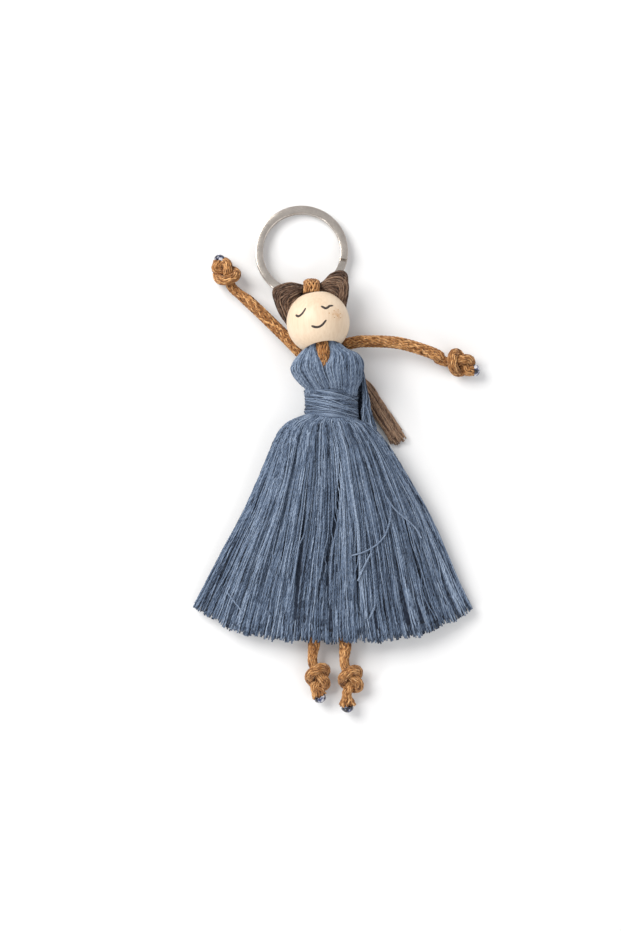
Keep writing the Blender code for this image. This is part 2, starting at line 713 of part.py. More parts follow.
def limb(name, shares, knot_share, thickness, mirrored, end_shares, end_turn=0.0):
    """A cord from a round joint end through an overhand knot to its cut end."""
    start = clear_of_bead(places(shares), thickness / 2)
    centre = place(knot_share)
    span = centre - start[-1]
    heading = math.atan2(span.y, span.x)
    along = Vector((math.cos(heading), math.sin(heading), 0))
    knot = knot_points(centre, heading, mirrored)
    drop = Vector((0, 0, -KNOT_PITCH))
    knot.insert(0, knot[0] - along * (0.8 * KNOT_PITCH) + 0.1 * drop)
    onward = Matrix.Rotation(end_turn, 3, "Z") @ along * KNOT_PITCH
    knot += [knot[-1] + onward * end_shares[0] + 0.1 * drop]
    ends = [knot[-1] + onward * end_shares[1] + 0.1 * drop]
    root = start[0]
    way = (start[1] - start[0]).normalized()
    radius = thickness / 2
    turns = [math.radians(a) for a in (12.0, 35.0, 62.0)]
    cap = [root - way * (radius * math.cos(a)) for a in turns]
    before = smooth_route(start, 3)
    through = smooth_route([start[-1]] + knot, 3)[1:]
    after = smooth_route([knot[-1]] + ends, 3)[1:]
    route = [Vector(p) for p in cap] + [Vector(p) for p in before]
    route += [Vector(p) for p in through] + [Vector(p) for p in after]
    radii = [radius * math.sin(a) for a in turns] + [radius] * len(before)
    thin = KNOT_CORD_DIAMETER / 2
    for k in range(len(through)):
        from_end = min(k, len(through) - 1 - k)
        share = max(1 - from_end / KNOT_TAPER_POINTS, 0)
        radii.append(thin + (radius - thin) * share)
    radii += [radii[-1]] * len(after)
    tied = len(cap) + len(before)
    gap = least_gap(route[tied:], radii[tied:])
    print(name, "knot: least gap to itself", round(gap * 1000, 2), "mm")
    tube(name, route, radii, "tan_cord", root, sides=1)
    tip(name, route[-1], (route[-1] - route[-2]).normalized(), root)


def tip(limb_name, end, way, root):
    """The sealed end of a cord, hinged with it: a short round-nosed cap past the cut."""
    radius = TIP_DIAMETER / 2
    shares = ((0.0, 0.92), (0.35, 1.0), (0.72, 0.86), (0.92, 0.55), (1.0, 0.25))
    start = end + way * CLEARANCE
    route = [start + way * (TIP_LENGTH * share) for share, _ in shares]
    radii = [radius * share for _, share in shares]
    return tube(limb_name + "_tip", route, radii, "sealed_end", root)


def winding(name, centre, ahead, across, half_width, half_height, turns, pitch, yarn, surface):
    """One unbroken length of yarn wound round a flat bundle, its ends run straight."""
    up = across.cross(ahead).normalized()
    count = turns * POINTS_A_LOOP
    route = []
    for k in range(count + 1):
        turn = 2 * math.pi * k / POINTS_A_LOOP
        along = (k / count - 0.5) * turns * pitch
        out = across * (half_width * math.cos(turn)) + up * (half_height * math.sin(turn))
        route.append(centre + ahead * along + out)
    first = (route[0] - route[1]).normalized()
    last = (route[-1] - route[-2]).normalized()
    route = [route[0] + first * yarn] + route + [route[-1] + last * yarn]
    radii = [yarn / 2] * len(route)
    print(name, "least gap to itself", round(least_gap(route, radii) * 1000, 2), "mm")
    return tube(name, route, radii, surface, centre, sides=1)


def waist_gather():
    """The gathered yarn under the waist winding."""
    inset = WAIST_YARN + CLEARANCE
    rings = []
    for share in (-0.5, -0.25, 0.0, 0.25, 0.5):
        swell = 1.0 - WAIST_DRAW_SHARE * (0.25 - share * share)
        ring = []
        for k in range(24):
            turn = 2 * math.pi * k / 24
            x = (WAIST_WIDTH / 2 - inset) * math.cos(turn) * swell
            z = (WAIST_DEPTH / 2 - inset) * math.sin(turn) * swell
            ring.append(WAIST + Vector((x, WAIST_HEIGHT * share, z)))
        rings.append(ring)
    return loft("waist_gather", rings, "blue_yarn", WAIST)


def bodice(name, shares, seam_side):
    """A bundle folded over the arm cord: pillow-shaped sections, squarer at the seam."""
    rows = smooth_route(np.array(shares), 2) * BODY_LENGTH
    shift = Vector(ORIGIN_SHARE) * BODY_LENGTH
    rings = []
    for level, left, right, back, front in rows:
        ring = []
        for k in range(16):
            turn = 2 * math.pi * (k + 0.5) / 16
            c, s = math.cos(turn), math.sin(turn)
            roundness = 0.3 if c * seam_side > 0 else 0.8
            x = (left + right) / 2 + (right - left) / 2 * math.copysign(abs(c) ** roundness, c)
            z = (back + front) / 2 + (front - back) / 2 * math.copysign(abs(s) ** 0.7, s)
            ring.append(Vector((x + shift.x, DRESS_TOP_LEVEL + level, z)))
        rings.append(ring)
    return loft(name, rings, "blue_yarn", rings[0][0])


def blend_step(share):
    share = np.clip(share, 0.0, 1.0)
    return share * share * (3 - 2 * share)


def skirt_layer(name, front):
    """One layer of the skirt: a grid from waist to hem with folds and room for the legs."""
    left = smooth_route([Vector((*s, 0)) for s in SKIRT_LEFT_SHARES], 4) * BODY_LENGTH
    right = smooth_route([Vector((*s, 0)) for s in SKIRT_RIGHT_SHARES], 4) * BODY_LENGTH
    picks = np.linspace(0, 1, SKIRT_ROWS + 1)
    given = np.linspace(0, 1, len(left))
    left = np.column_stack([np.interp(picks, given, left[:, k]) for k in range(2)])
    right = np.column_stack([np.interp(picks, given, right[:, k]) for k in range(2)])
    u = np.linspace(0, 1, SKIRT_COLUMNS + 1)[None, :]
    level = (left[:, 1:] + right[:, 1:]) / 2
    v = (level[0] - level) / (level[0] - level[-1])
    s = np.abs(2 * u - 1)
    sag = (SKIRT_WAIST_SAG + (SKIRT_HEM_SAG - SKIRT_WAIST_SAG) * v ** 1.5)
    x = left[:, :1] * (1 - u) + right[:, :1] * u
    y = left[:, 1:] * (1 - u) + right[:, 1:] * u - sag * (1 - s ** 3.2)
    fall = s ** 4
    crown = SKIRT_WAIST_TOP + (SKIRT_HEM_TOP - SKIRT_WAIST_TOP) * v ** 0.8
    edge = SKIRT_WAIST_EDGE + (SKIRT_HEM_EDGE - SKIRT_WAIST_EDGE) * v ** 0.6
    top = crown + (edge - crown) * fall
    back = SKIRT_WAIST_BACK * (1 - blend_step(v / 0.38)) * (1 - fall)
    back = back + SKIRT_WAIST_EDGE_BACK * (1 - blend_step(v / 0.55)) * fall
    middle = (top + back) / 2
    room = SKIRT_LEG_ROOM / 2
    half = CLEARANCE / 2 + (room - CLEARANCE / 2) * blend_step((0.8 - s) / 0.25)
    ridge = SKIRT_FOLD_DEPTH * np.cos(2 * math.pi * SKIRT_FOLDS * u + 2.2 * v)
    ridge = ridge * blend_step(v / 0.3) * (1 - s ** 6)
    if front:
        outer, inner = top + ridge, middle + half
    else:
        outer, inner = back, middle - half
    shift = ORIGIN_SHARE[0] * BODY_LENGTH
    grid = np.dstack([x + shift, y + DRESS_LOW_LEVEL, outer, np.broadcast_to(inner, x.shape)])
    rings = []
    for row in grid:
        far = [Vector((p[0], p[1], p[2])) for p in row]
        near = [Vector((p[0], p[1], p[3])) for p in row[::-1]]
        rings.append(far + near)
    return loft(name, rings, "blue_yarn", rings[0][0])


def heading_of(shares):
    span = place(shares[1]) - place(shares[0])
    return math.atan2(span.y, span.x)


def arm_room(name, shares, swing, near):
    """The space that an arm needs beside the dress, from its shoulder outwards."""
    points = clear_of_bead(places(shares[:near]), CORD_DIAMETER / 2)
    radius = CORD_DIAMETER / 2 + CLEARANCE
    bottom = min(p.z for p in points) - radius
    top = max(p.z for p in points) + radius
    reach = (points[-1] - points[0]).length * ARM_ROOM_REACH_SHARE
    return swing_cutter(name, points[0], heading_of(shares), swing, reach, radius, bottom, top)


def build_head():
    key_ring()
    head_bead()
    cord_loop()


def build_cords():
    front, front_room = neck_cord("neck_cord_front", 1, NECK_FRONT_ROUTE_SHARES)
    back, back_room = neck_cord("neck_cord_back", -1, NECK_BACK_ROUTE_SHARES)
    middle, middle_room = arm_cord_middle()
    limb("arm_left", ARM_LEFT_ROUTE_SHARES, HAND_LEFT_KNOT_SHARE, CORD_DIAMETER, False,
         HAND_LEFT_END_SHARES, HAND_LEFT_END_TURN)
    limb("arm_right", ARM_RIGHT_ROUTE_SHARES, HAND_RIGHT_KNOT_SHARE, CORD_DIAMETER, True,
         HAND_RIGHT_END_SHARES)
    limb("leg_left", LEG_LEFT_ROUTE_SHARES, FOOT_LEFT_KNOT_SHARE, LEG_DIAMETER, False,
         FOOT_LEFT_END_SHARES)
    limb("leg_right", LEG_RIGHT_ROUTE_SHARES, FOOT_RIGHT_KNOT_SHARE, LEG_DIAMETER, True,
         FOOT_RIGHT_END_SHARES)
    return front_room, back_room, middle_room


def build_hair(head_room, floor):
    left_rows = hair_rows(HAIR_LEFT_BEAD_SHARES, HAIR_LEFT_SHARES)
    right_rows = hair_rows(HAIR_RIGHT_BEAD_SHARES, HAIR_RIGHT_SHARES)
    left = lock_of_hair("hair_left", left_rows)
    right = lock_of_hair("hair_right", right_rows)
    cut(left, head_room, floor)
    cut(right, head_room, floor)
    edges = [Vector(row[k:k + 3]) for row in left_rows[-2:] for k in (0, 3)]
    other = [Vector(row[k:k + 3]) for row in right_rows[-2:] for k in (0, 3)]
    centre = sum(edges + other, Vector()) / 8
    ahead = (edges[2] - edges[0]).normalized()
    across = ahead.cross(Vector((0, 0, 1))).normalized()
    reach = max(abs((spot - centre).dot(across)) for spot in edges + other)
    half_height = left_rows[-1][6] / 2
    margin = CLEARANCE + TIE_YARN / 2
    winding("hair_tie", centre, ahead, across, reach + 2 * margin, half_height + margin,
            TIE_TURNS, TIE_PITCH, TIE_YARN, "brown_yarn")
    bundle("ponytail", PONYTAIL_SHARES, "brown_yarn", steps=2)


def build_dress(head_room, rooms):
    left = bodice("bodice_left", BODICE_LEFT_SHARES, 1)
    right = bodice("bodice_right", BODICE_RIGHT_SHARES, -1)
    arm_left = arm_room("arm_left_room", ARM_LEFT_ROUTE_SHARES, ARM_LEFT_SWING, 2)
    arm_right = arm_room("arm_right_room", ARM_RIGHT_ROUTE_SHARES, ARM_RIGHT_SWING, 3)
    cut(left, head_room, *rooms, arm_left)
    cut(right, head_room, *rooms, arm_right)
    waist_gather()
    winding("waist_wrap", WAIST, Vector((0, 1, 0)), Vector((1, 0, 0)),
            WAIST_WIDTH / 2 - WAIST_YARN / 2, WAIST_DEPTH / 2 - WAIST_YARN / 2,
            WAIST_TURNS, WAIST_WRAP_PITCH, WAIST_YARN, "blue_yarn")
    bundle("side_strands", SIDE_STRANDS_SHARES, "blue_yarn", sides=10)
    skirt_layer("skirt_front", True)
    skirt_layer("skirt_back", False)


clear_scene()
PARTS = new_collection("yarn_doll")
CUTTERS = new_collection("cutters")
SURFACES = {name: make_material(name) for name in MATERIALS}

build_head()
cord_rooms = build_cords()
head_space = ball_cutter("head_room", HEAD, BEAD_DIAMETER / 2 + CLEARANCE)
floor_space = floor_cutter()
build_hair(head_space, floor_space)
build_dress(head_space, cord_rooms)
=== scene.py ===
"""Looks of the yarn doll on a split ring: threads, braided cords, wood, steel, floor and light.

Metres, +Z up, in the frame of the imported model. The doll lies on its back with its head to +Y.
Every shape is worked out with numpy as whole arrays: a strand is a route of points, and a body is
a row of rings. Pieces sit at the origin with their place in their mesh.
"""

import math

import bpy
import numpy as np
from mathutils import Matrix, Vector


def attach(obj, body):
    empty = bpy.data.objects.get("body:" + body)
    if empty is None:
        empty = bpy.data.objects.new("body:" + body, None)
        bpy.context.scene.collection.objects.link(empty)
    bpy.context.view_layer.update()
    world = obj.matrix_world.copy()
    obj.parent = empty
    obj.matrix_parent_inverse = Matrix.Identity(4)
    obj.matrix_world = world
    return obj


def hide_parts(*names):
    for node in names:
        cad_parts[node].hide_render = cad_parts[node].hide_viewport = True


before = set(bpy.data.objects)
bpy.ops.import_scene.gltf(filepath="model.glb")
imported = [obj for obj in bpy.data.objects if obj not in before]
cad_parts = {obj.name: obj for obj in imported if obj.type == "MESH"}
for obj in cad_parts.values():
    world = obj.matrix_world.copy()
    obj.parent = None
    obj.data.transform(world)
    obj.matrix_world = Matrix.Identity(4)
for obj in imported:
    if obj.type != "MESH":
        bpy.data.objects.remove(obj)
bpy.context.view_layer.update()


def mm(*rows):
    """Rows of places given in millimetres, as an array in metres."""
    return np.array(rows) * 0.001


# Places below are measured from the doll's own middle, and this moves them into the frame
ORIGIN = np.array((-0.000248, -0.000200, 0.0))
UP = np.array((0.0, 0.0, 1.0))
ACROSS = np.array((1.0, 0.0, 0.0))
AHEAD = np.array((0.0, 1.0, 0.0))
CLEARANCE = 0.00035
THREAD_MARGIN = 0.00045

# Key ring
RING_OUTER = 0.030
RING_WIRE_WIDTH = 0.00256
RING_COIL_HEIGHT = 0.00120
RING_COIL_GAP = 0.00020
RING_EDGE = 0.00028
RING_CENTRE = (-0.0110, 0.0669)
RING_TURNS_DEGREES = 675.0
RING_STEP_DEGREES = (312.0, 347.0)
RING_START_DEGREES = -55.0

# Head bead
BEAD_DIAMETER = 0.020
BEAD_BORE = 0.0100
BEAD_MOUTH_ROUND = 0.00060
HEAD_PLACE = (-0.0057, 0.0434, 0.0138)
HEAD_TILT = math.radians(10.0)
HEAD_PITCH = math.radians(15.0)

# Cords
CORD_DIAMETER = 0.0042
ARM_DIAMETER = CORD_DIAMETER * 0.92
LEG_DIAMETER = 0.0039
LOOP_WIDTH = 0.0054
LOOP_THICKNESS = 0.0020
RUN_OFFSET = 0.0020
NECK_CORD_DIAMETER = 0.0036
KNOT_PITCH = 0.0028
KNOT_CORD_DIAMETER = 0.0031
TIP_LENGTH = 0.0022
TIP_DIAMETER = 0.0039
BRAID_PITCH = 0.0300
CARRIERS = 12
FRAY = 0.0006

# Yarn
THREAD = 0.00050
HAIR_THREAD = 0.00044
HAIR_STRANDS = 170
TIE_TURNS = 4

# Skirt
SKIRT_WAIST_TOP = 0.0136
SKIRT_HEM_TOP = 0.0077
SKIRT_WAIST_EDGE = 0.0100
SKIRT_HEM_EDGE = 0.0036
SKIRT_WAIST_BACK = 0.0030
SKIRT_WAIST_EDGE_BACK = 0.0058
SKIRT_HEM_SAG = 0.0113
SKIRT_WAIST_SAG = 0.0004
SKIRT_LEG_ROOM = 0.0050
TUCK_LEVELS = (0.0148, 0.0172)

# Waist
WAIST_PLACE = (-0.0014, 0.01745, 0.0077)
WAIST_WIDTH = 0.0177
WAIST_DEPTH = 0.0124
WAIST_THREAD = 0.00038
WAIST_TOP = 0.0221
WAIST_BOTTOM = (0.0146, 0.0124)

# Room for the arm cord in the bodice's back: its roof, and the level where it starts
ARM_ROOM_TOP = 0.0102
ARM_ROOM_START = 0.0280

# Routes of the cords: places along their middles
ARM_MIDDLE_ROUTE = mm(
    (-9.25, 33.35, 6.9), (-8, 32.55, 6.5), (-4, 31.1, 6.1), (-0.8, 32.8, 5.95), (0.65, 34.75, 5.92),
)
ARM_LEFT_ROUTE = mm(
    (-8.8, 32.6, 6.2), (-10.15, 33.4, 6.7), (-11.59, 34.564, 7.3), (-17, 40.1, 7.1), (-23.6, 46.6, 6.5),
    (-28, 50.8, 5.8),
)
ARM_RIGHT_ROUTE = mm(
    (2.4, 36.7, 6.1), (5.5, 37.4, 6.9), (9.3, 37.8, 7.5), (19.7, 37.4, 6.4), (29, 34.9, 5.5),
    (33.3, 33.1, 5.2),
)
LEG_LEFT_ROUTE = mm(
    (-4, 10.1, 8), (-4.7, 0, 6.85), (-5.5, -20, 5.35), (-6.2, -40, 4.55), (-6.9, -59.2, 4.1),
)
LEG_RIGHT_ROUTE = mm(
    (1.2, 10.1, 8), (1.4, 0, 6.85), (2.2, -20, 5.35), (2.9, -40, 4.55), (3.1, -60.5, 4.1),
)
NECK_FRONT_ROUTE = mm(
    (-4, 33.7, 18.2), (-3.7, 31.6, 16.7), (-3.7, 29.4, 14.4), (-3, 27, 12.6), (-2, 24.6, 11.3),
    (-1.8, 23, 11),
)
NECK_BACK_ROUTE = mm(
    (-5.6, 33.1, 13.2), (-7, 31.5, 11.9), (-6.4, 29.6, 10.8), (-5.6, 27.2, 8.9), (-4.6, 24.6, 7.2),
    (-4.2, 23, 6.8),
)
# The loop's route above the bead's mouth: places ahead and up
LOOP_ROUTE = mm(
    (1.1, 2.2), (3.1, 1.6), (4.4, -0.3), (5, -3.3), (5, -6.2), (4.5, -8.8), (3.2, -10.2), (1.2, -10.3),
    (-0.55, -9.1), (-1.05, -7.4), (-0.7, -5.6), (-0.1, -4), (0.05, -2.25),
)
# Rows of a lock's inner edge, outer edge and thickness
HAIR_LEFT = mm(
    (-7.6, 53.7, 8.6, -7.6, 56.1, 8.6, 2.9), (-10.4, 53.1, 8.7, -10.4, 56, 8.9, 3.5),
    (-12, 51, 9.4, -14.8, 56.5, 10.6, 4.8), (-12.6, 49.4, 9, -18.6, 55.6, 10.6, 5),
    (-12.8, 48, 8.2, -20.3, 53.6, 10, 5), (-12.4, 46.2, 6.8, -19.7, 50.6, 9, 5),
    (-11.8, 44.6, 5.4, -18.4, 47.2, 7.8, 4.6), (-10.6, 42.4, 3.6, -16.4, 44.2, 5.6, 4),
    (-8.6, 39.4, 1.65, -13.6, 39.8, 3, 3.6), (-6, 36.6, 1.55, -9, 35.2, 1.7, 3.3),
    (-2.6, 34.5, 1.7, -4.2, 32.5, 1.7, 2.4), (0.94, 32.32, 1.85, -0.74, 30.88, 1.85, 1.8),
    (3.24, 29.62, 1.85, 1.56, 28.18, 1.85, 1.8),
)
HAIR_RIGHT = mm(
    (-7.1, 53.7, 8.6, -7.1, 56.1, 8.6, 2.9), (-4.4, 53.2, 8.8, -4.4, 56.8, 9.2, 3.8),
    (-2.4, 52.6, 9.4, -1.6, 59.3, 10.4, 4.8), (-1.4, 52, 9.2, 1.4, 60.3, 10.6, 5),
    (-0.6, 51.2, 8.6, 3.4, 59.4, 10.4, 5), (-0.4, 50.2, 7.8, 4.1, 56.4, 9.8, 5),
    (-0.6, 48.8, 6.6, 4, 52.6, 8.8, 4.8), (-0.9, 46.6, 5, 3.4, 49.4, 7.4, 4.4),
    (-1.2, 43, 3, 2.8, 44.8, 4.8, 4), (-1.2, 39.4, 1.55, 2.6, 40, 1.65, 3.3),
    (-0.4, 36.2, 1.7, 3, 36.6, 1.7, 2.8), (1.2, 33.9, 1.7, 3.6, 35, 1.7, 2.2),
    (1.76, 32.28, 1.85, 3.44, 33.72, 1.85, 1.8), (3.76, 29.88, 1.85, 5.44, 31.32, 1.85, 1.8),
)
# Rows of a bundle's middle, width and height
PONYTAIL = mm(
    (3.98, 29.2, 1.5, 1, 1.2), (4.5, 28.6, 1.5, 2.8, 1.9), (5.8, 27.1, 1.5, 4.2, 2.3),
    (10.2, 22.1, 1.45, 5, 2.3), (15.6, 13.8, 1.4, 5.6, 2.2), (21.2, 5, 1.3, 6.2, 2),
)
SIDE_STRANDS = mm(
    (7.8, 29.8, 9.2, 1.2, 1.4), (8.6, 27, 8.8, 1.4, 1.6), (9.2, 22.4, 8.4, 2, 2.2),
    (9.7, 17.5, 8.2, 3.4, 2.8), (10.2, 13.2, 8.2, 4.2, 3), (11.4, 8, 8.6, 5, 2.6),
)
# A lower bundle of blue strands beside the waist, drawn nearly black: painted shadow in the gap between the
# waist and the side strands.
SIDE_STRANDS_LOW = mm(
    (7, 28, 6, 2, 2), (7.8, 22.4, 5.4, 3.2, 2.2), (8.2, 17.5, 5.2, 4.4, 2.2), (8.6, 13.2, 5.4, 4.6, 2.2),
    (10, 8, 6, 4, 2),
)
# Rows of a bodice half's level, left and right edge, back and front height
BODICE_LEFT = mm(
    (22.75, -10, -0.5, 2.8, 13.4), (25, -12.3, -1.3, 3.4, 15.6), (28.2, -14.3, -2.7, 3.9, 17.8),
    (30.2, -13.8, -3.4, 4.2, 18.6), (31.6, -13, -4.4, 4.8, 18.9), (33.4, -11.4, -5.5, 6.2, 18.8),
    (34.7, -10.1, -6.2, 11, 18.8), (36, -9.2, -6.5, 13.2, 18.8), (37.4, -8.6, -6.5, 14.2, 18.8),
)
BODICE_RIGHT = mm(
    (22.75, -2.3, 7.2, 2.8, 13.4), (25, -3.1, 8.3, 3.4, 15.6), (28.8, -4.4, 8.9, 3.9, 17.8),
    (31, -4.1, 8.6, 4.2, 18.7), (32.4, -3.6, 7.8, 4.7, 18.8), (33.7, -3.2, 6.4, 6, 18.6),
    (34.8, -2.8, 3.4, 11, 18.6), (36, -2.5, 1.8, 13.2, 18.6), (37.2, -2.3, 0.4, 14.2, 18.6),
    (38.1, -2.2, -0.4, 14.6, 18.6),
)
# The skirt's side edges from the waist to the hem
SKIRT_LEFT = mm(
    (-10, 14.2), (-15, 12.1), (-18, 9.2), (-20.3, 5), (-24.3, -4.6), (-29.8, -16.8), (-36, -28.2),
    (-41.5, -38.6), (-46.5, -48),
)
SKIRT_RIGHT = mm(
    (7, 12.6), (11, 11.2), (14.5, 7.6), (18.2, 2.6), (23.4, -5.8), (29.6, -16.4), (34.8, -27.2),
    (39.5, -38.4), (44.7, -48.6),
)
# An overhand knot's second half, in shares of KNOT_PITCH
KNOT_ROUTE = (
    (0.00, 0.93, 0.00), (-0.25, 0.91, 0.46), (-0.66, 0.61, 0.94), (-1.03, 0.03, 1.02),
    (-1.15, -0.56, 0.69), (-0.91, -0.90, 0.15), (-0.43, -0.84, -0.34), (0.08, -0.41, -0.49),
    (0.52, 0.01, -0.17), (1.10, 0.34, -0.05), (1.66, 0.56, 0.00),
)
KNOT_CENTRE = (0.0, 0.36, 0.0)
# Each knot's middle, its way of tying, the two steps on to the cut end as shares of KNOT_PITCH, the
# turn of those steps, and how far the cut end spreads
HAND_LEFT = ((-0.0363, 0.0592, 0.0043), False, (0.35, 0.45), math.radians(-66.0), 1.20)
HAND_RIGHT = ((0.0394, 0.0299, 0.0043), True, (0.25, 0.40), math.radians(32.0), 1.20)
FOOT_LEFT = ((-0.0068, -0.0700, 0.0043), True, (0.68, 0.45), math.radians(25.0), 1.60)
FOOT_RIGHT = ((0.0038, -0.0708, 0.0043), True, (0.75, 0.50), 0.0, 1.80)


def placed(places):
    """Places measured from the doll's own middle, in the frame."""
    return np.asarray(places, float) + ORIGIN


def unit(vectors):
    """Vectors divided by their own lengths."""
    return vectors / np.maximum(np.linalg.norm(vectors, axis=-1, keepdims=True), 1e-12)


def ease(share):
    """A smooth step: 3 s squared minus 2 s cubed, for s from 0 to 1."""
    share = np.clip(share, 0.0, 1.0)
    return share * share * (3 - 2 * share)


def curve_through(rows, count):
    """Catmull-Rom curves through rows of values, as count rows each.

    Between rows b and c, with neighbours a and d, the value at f from 0 to 1 is half of
    2b + (c - a) f + (2a - 5b + 4c - d) f squared + (3b - a - 3c + d) f cubed.
    """
    rows = np.asarray(rows, float)
    first = 2 * rows[..., :1, :] - rows[..., 1:2, :]
    last = 2 * rows[..., -1:, :] - rows[..., -2:-1, :]
    padded = np.concatenate([first, rows, last], axis=-2)
    t = np.linspace(0, rows.shape[-2] - 1, count)
    k = np.minimum(t.astype(int), rows.shape[-2] - 2)
    f = (t - k)[:, None]
    a, b, c, d = (padded[..., k + j, :] for j in range(4))
    bend = (2 * a - 5 * b + 4 * c - d) * f ** 2 + (3 * b - a - 3 * c + d) * f ** 3
    return 0.5 * (2 * b + (c - a) * f + bend)


def distance_along(routes):
    """The distance from each route's first point to each of its points."""
    steps = np.linalg.norm(np.diff(routes, axis=-2), axis=-1)
    return np.concatenate([np.zeros(steps.shape[:-1] + (1,)), np.cumsum(steps, axis=-1)], axis=-1)


def evenly(route, spacing):
    """One route read again at equal steps along its length."""
    along = distance_along(route)
    picks = np.linspace(0, along[-1], int(along[-1] / spacing) + 2)
    return np.stack([np.interp(picks, along, column) for column in route.T], axis=-1)


def smooth_route(places, count, spacing=0.0003):
    """A curve through places, worked out at count points and read again at equal steps."""
    return evenly(curve_through(places, count), spacing)


def level_way(angle):
    """The unit way at an angle in the floor's plane."""
    return np.array((math.cos(angle), math.sin(angle), 0.0))


def waves(seeds, share, cycles):
    """Smooth random curves from -1 to 1: each row a sum of three sines of random phase and rate."""
    order = np.arange(1, 4)[:, None, None]
    share = np.asarray(share)[None]
    phase = seeds.uniform(0, 2 * math.pi, (3, share.shape[1], 1))
    rate = seeds.uniform(0.5, 1.5, (3, share.shape[1], 1)) * cycles * order
    size = 1.0 / order
    return (size * np.sin(2 * math.pi * rate * share + phase)).sum(axis=0) / size.sum()


def outside_ball(points, centre, radius):
    """Points nearer to the centre than the radius are moved straight out to it."""
    away = points - centre
    length = np.linalg.norm(away, axis=-1, keepdims=True)
    return np.where(length < radius, centre + unit(away) * radius, points)


def clear_of_bead(points, margin):
    """Points in the bead's wood are moved out of it, or into its bore where they are close to it."""
    away = points - HEAD
    along = (away @ HEAD_AXIS)[..., None] * HEAD_AXIS
    across = away - along
    reach = np.linalg.norm(across, axis=-1, keepdims=True)
    pulled = HEAD + along + across * np.minimum(1.0, (BEAD_BORE / 2 - margin) / np.maximum(reach, 1e-9))
    inside = np.linalg.norm(away, axis=-1, keepdims=True) < BEAD_DIAMETER / 2 + margin
    pushed = outside_ball(points, HEAD, BEAD_DIAMETER / 2 + margin)
    return np.where(inside & (reach < BEAD_BORE / 2 + margin), pulled, pushed)


# Meshes

def fill_mesh(name, spots, quads, triangles, quad_uv, three_uv, tones):
    """A mesh from arrays: corner points, faces of four and three corners, their UV, and shade.

    All faces are turned round where the volume that they enclose would come out below zero.
    """
    faces = np.concatenate([quads[:, :3], quads[:, [0, 2, 3]], triangles])
    a, b, c = (spots[faces[:, j]] - spots[0] for j in range(3))
    if (a * np.cross(b, c)).sum() < 0:
        quads, triangles, quad_uv, three_uv = (x[:, ::-1] for x in (quads, triangles, quad_uv, three_uv))
    around = np.concatenate([quad_uv.reshape(-1, 2), three_uv.reshape(-1, 2)])
    mesh = bpy.data.meshes.new(name)
    corners = np.concatenate([quads.ravel(), triangles.ravel()]).astype(np.int32)
    first = np.concatenate([4 * np.arange(len(quads)), 4 * len(quads) + 3 * np.arange(len(triangles))])
    mesh.vertices.add(len(spots))
    mesh.vertices.foreach_set("co", spots.astype(np.float32).ravel())
    mesh.loops.add(len(corners))
    mesh.loops.foreach_set("vertex_index", corners)
    mesh.polygons.add(len(first))
    mesh.polygons.foreach_set("loop_start", first.astype(np.int32))
    mesh.update(calc_edges=True)
    layer = mesh.uv_layers.new(name="UVMap")
    layer.data.foreach_set("uv", around.astype(np.float32).ravel())
    shade = mesh.attributes.new("shade", "FLOAT", "POINT")
    shade.data.foreach_set("value", tones.astype(np.float32))
    mesh.shade_smooth()
    return mesh


def tube_mesh(name, rings, shade=0.5):
    """Closed tubes from rings of points, as an array of tubes, rings, points and x y z.

    Each ring is joined to the next by four-sided faces, and a pole in the middle closes each
    end. UV holds the share of the way round and the distance along in metres.
    """
    rings = np.asarray(rings, float)
    n, m, k = rings.shape[:3]
    middles = rings.mean(axis=2)
    spots = np.concatenate([rings.reshape(-1, 3), middles[:, [0, -1]].reshape(-1, 3)])
    index = np.arange(n * m * k).reshape(n, m, k)
    after = np.roll(index, -1, axis=2)
    quads = np.stack([index[:, :-1], index[:, 1:], after[:, 1:], after[:, :-1]], axis=-1)
    low = np.broadcast_to(n * m * k + 2 * np.arange(n)[:, None], (n, k))
    start = np.stack([low, index[:, 0], after[:, 0]], axis=-1)
    end = np.stack([low + 1, after[:, -1], index[:, -1]], axis=-1)
    u = np.broadcast_to(np.arange(k) / k, (n, m, k))
    v = np.broadcast_to(distance_along(middles)[..., None], (n, m, k))
    here, there = np.stack([u, v], axis=-1), np.stack([u + 1 / k, v], axis=-1)
    quad_uv = np.stack([here[:, :-1], here[:, 1:], there[:, 1:], there[:, :-1]], axis=-2)
    start_uv = np.stack([here[:, 0], here[:, 0], there[:, 0]], axis=-2)
    end_uv = np.stack([here[:, -1], there[:, -1], here[:, -1]], axis=-2)
    quads, triangles = quads.reshape(-1, 4), np.concatenate([start.reshape(-1, 3), end.reshape(-1, 3)])
    quad_uv, three_uv = quad_uv.reshape(-1, 4, 2), np.concatenate([start_uv, end_uv]).reshape(-1, 3, 2)
    shade = np.asarray(shade, float)
    tone = np.broadcast_to(shade.reshape(shade.shape + (1,) * (3 - shade.ndim)), (n, m, k))
    tones = np.concatenate([tone.ravel(), tone[:, [0, -1], 0].ravel()])
    return fill_mesh(name, spots, quads, triangles, quad_uv, three_uv, tones)


def axes_along(routes, up):
    """Ahead, side and top along routes: side is square to ahead and to up, and top to both."""
    ahead = unit(np.gradient(routes, axis=-2))
    side = unit(np.cross(ahead, np.broadcast_to(up, routes.shape)))
    return ahead, side, np.cross(side, ahead)


def oval_rings(middle, across, above, sides):
    """Rings of points: middle + across cos t + above sin t, for the turn t once round."""
    turn = 2 * math.pi * np.arange(sides)[:, None] / sides
    return middle[..., None, :] + across[..., None, :] * np.cos(turn) + above[..., None, :] * np.sin(turn)


def rings_round(routes, radius, up, sides=6, flatness=1.0):
    """Round rings along routes, or ovals whose height is flatness times their width."""
    _, side, top = axes_along(routes, up)
    radius = np.broadcast_to(radius, routes.shape[:-1])[..., None]
    return oval_rings(routes, side * radius, top * radius * flatness, sides)


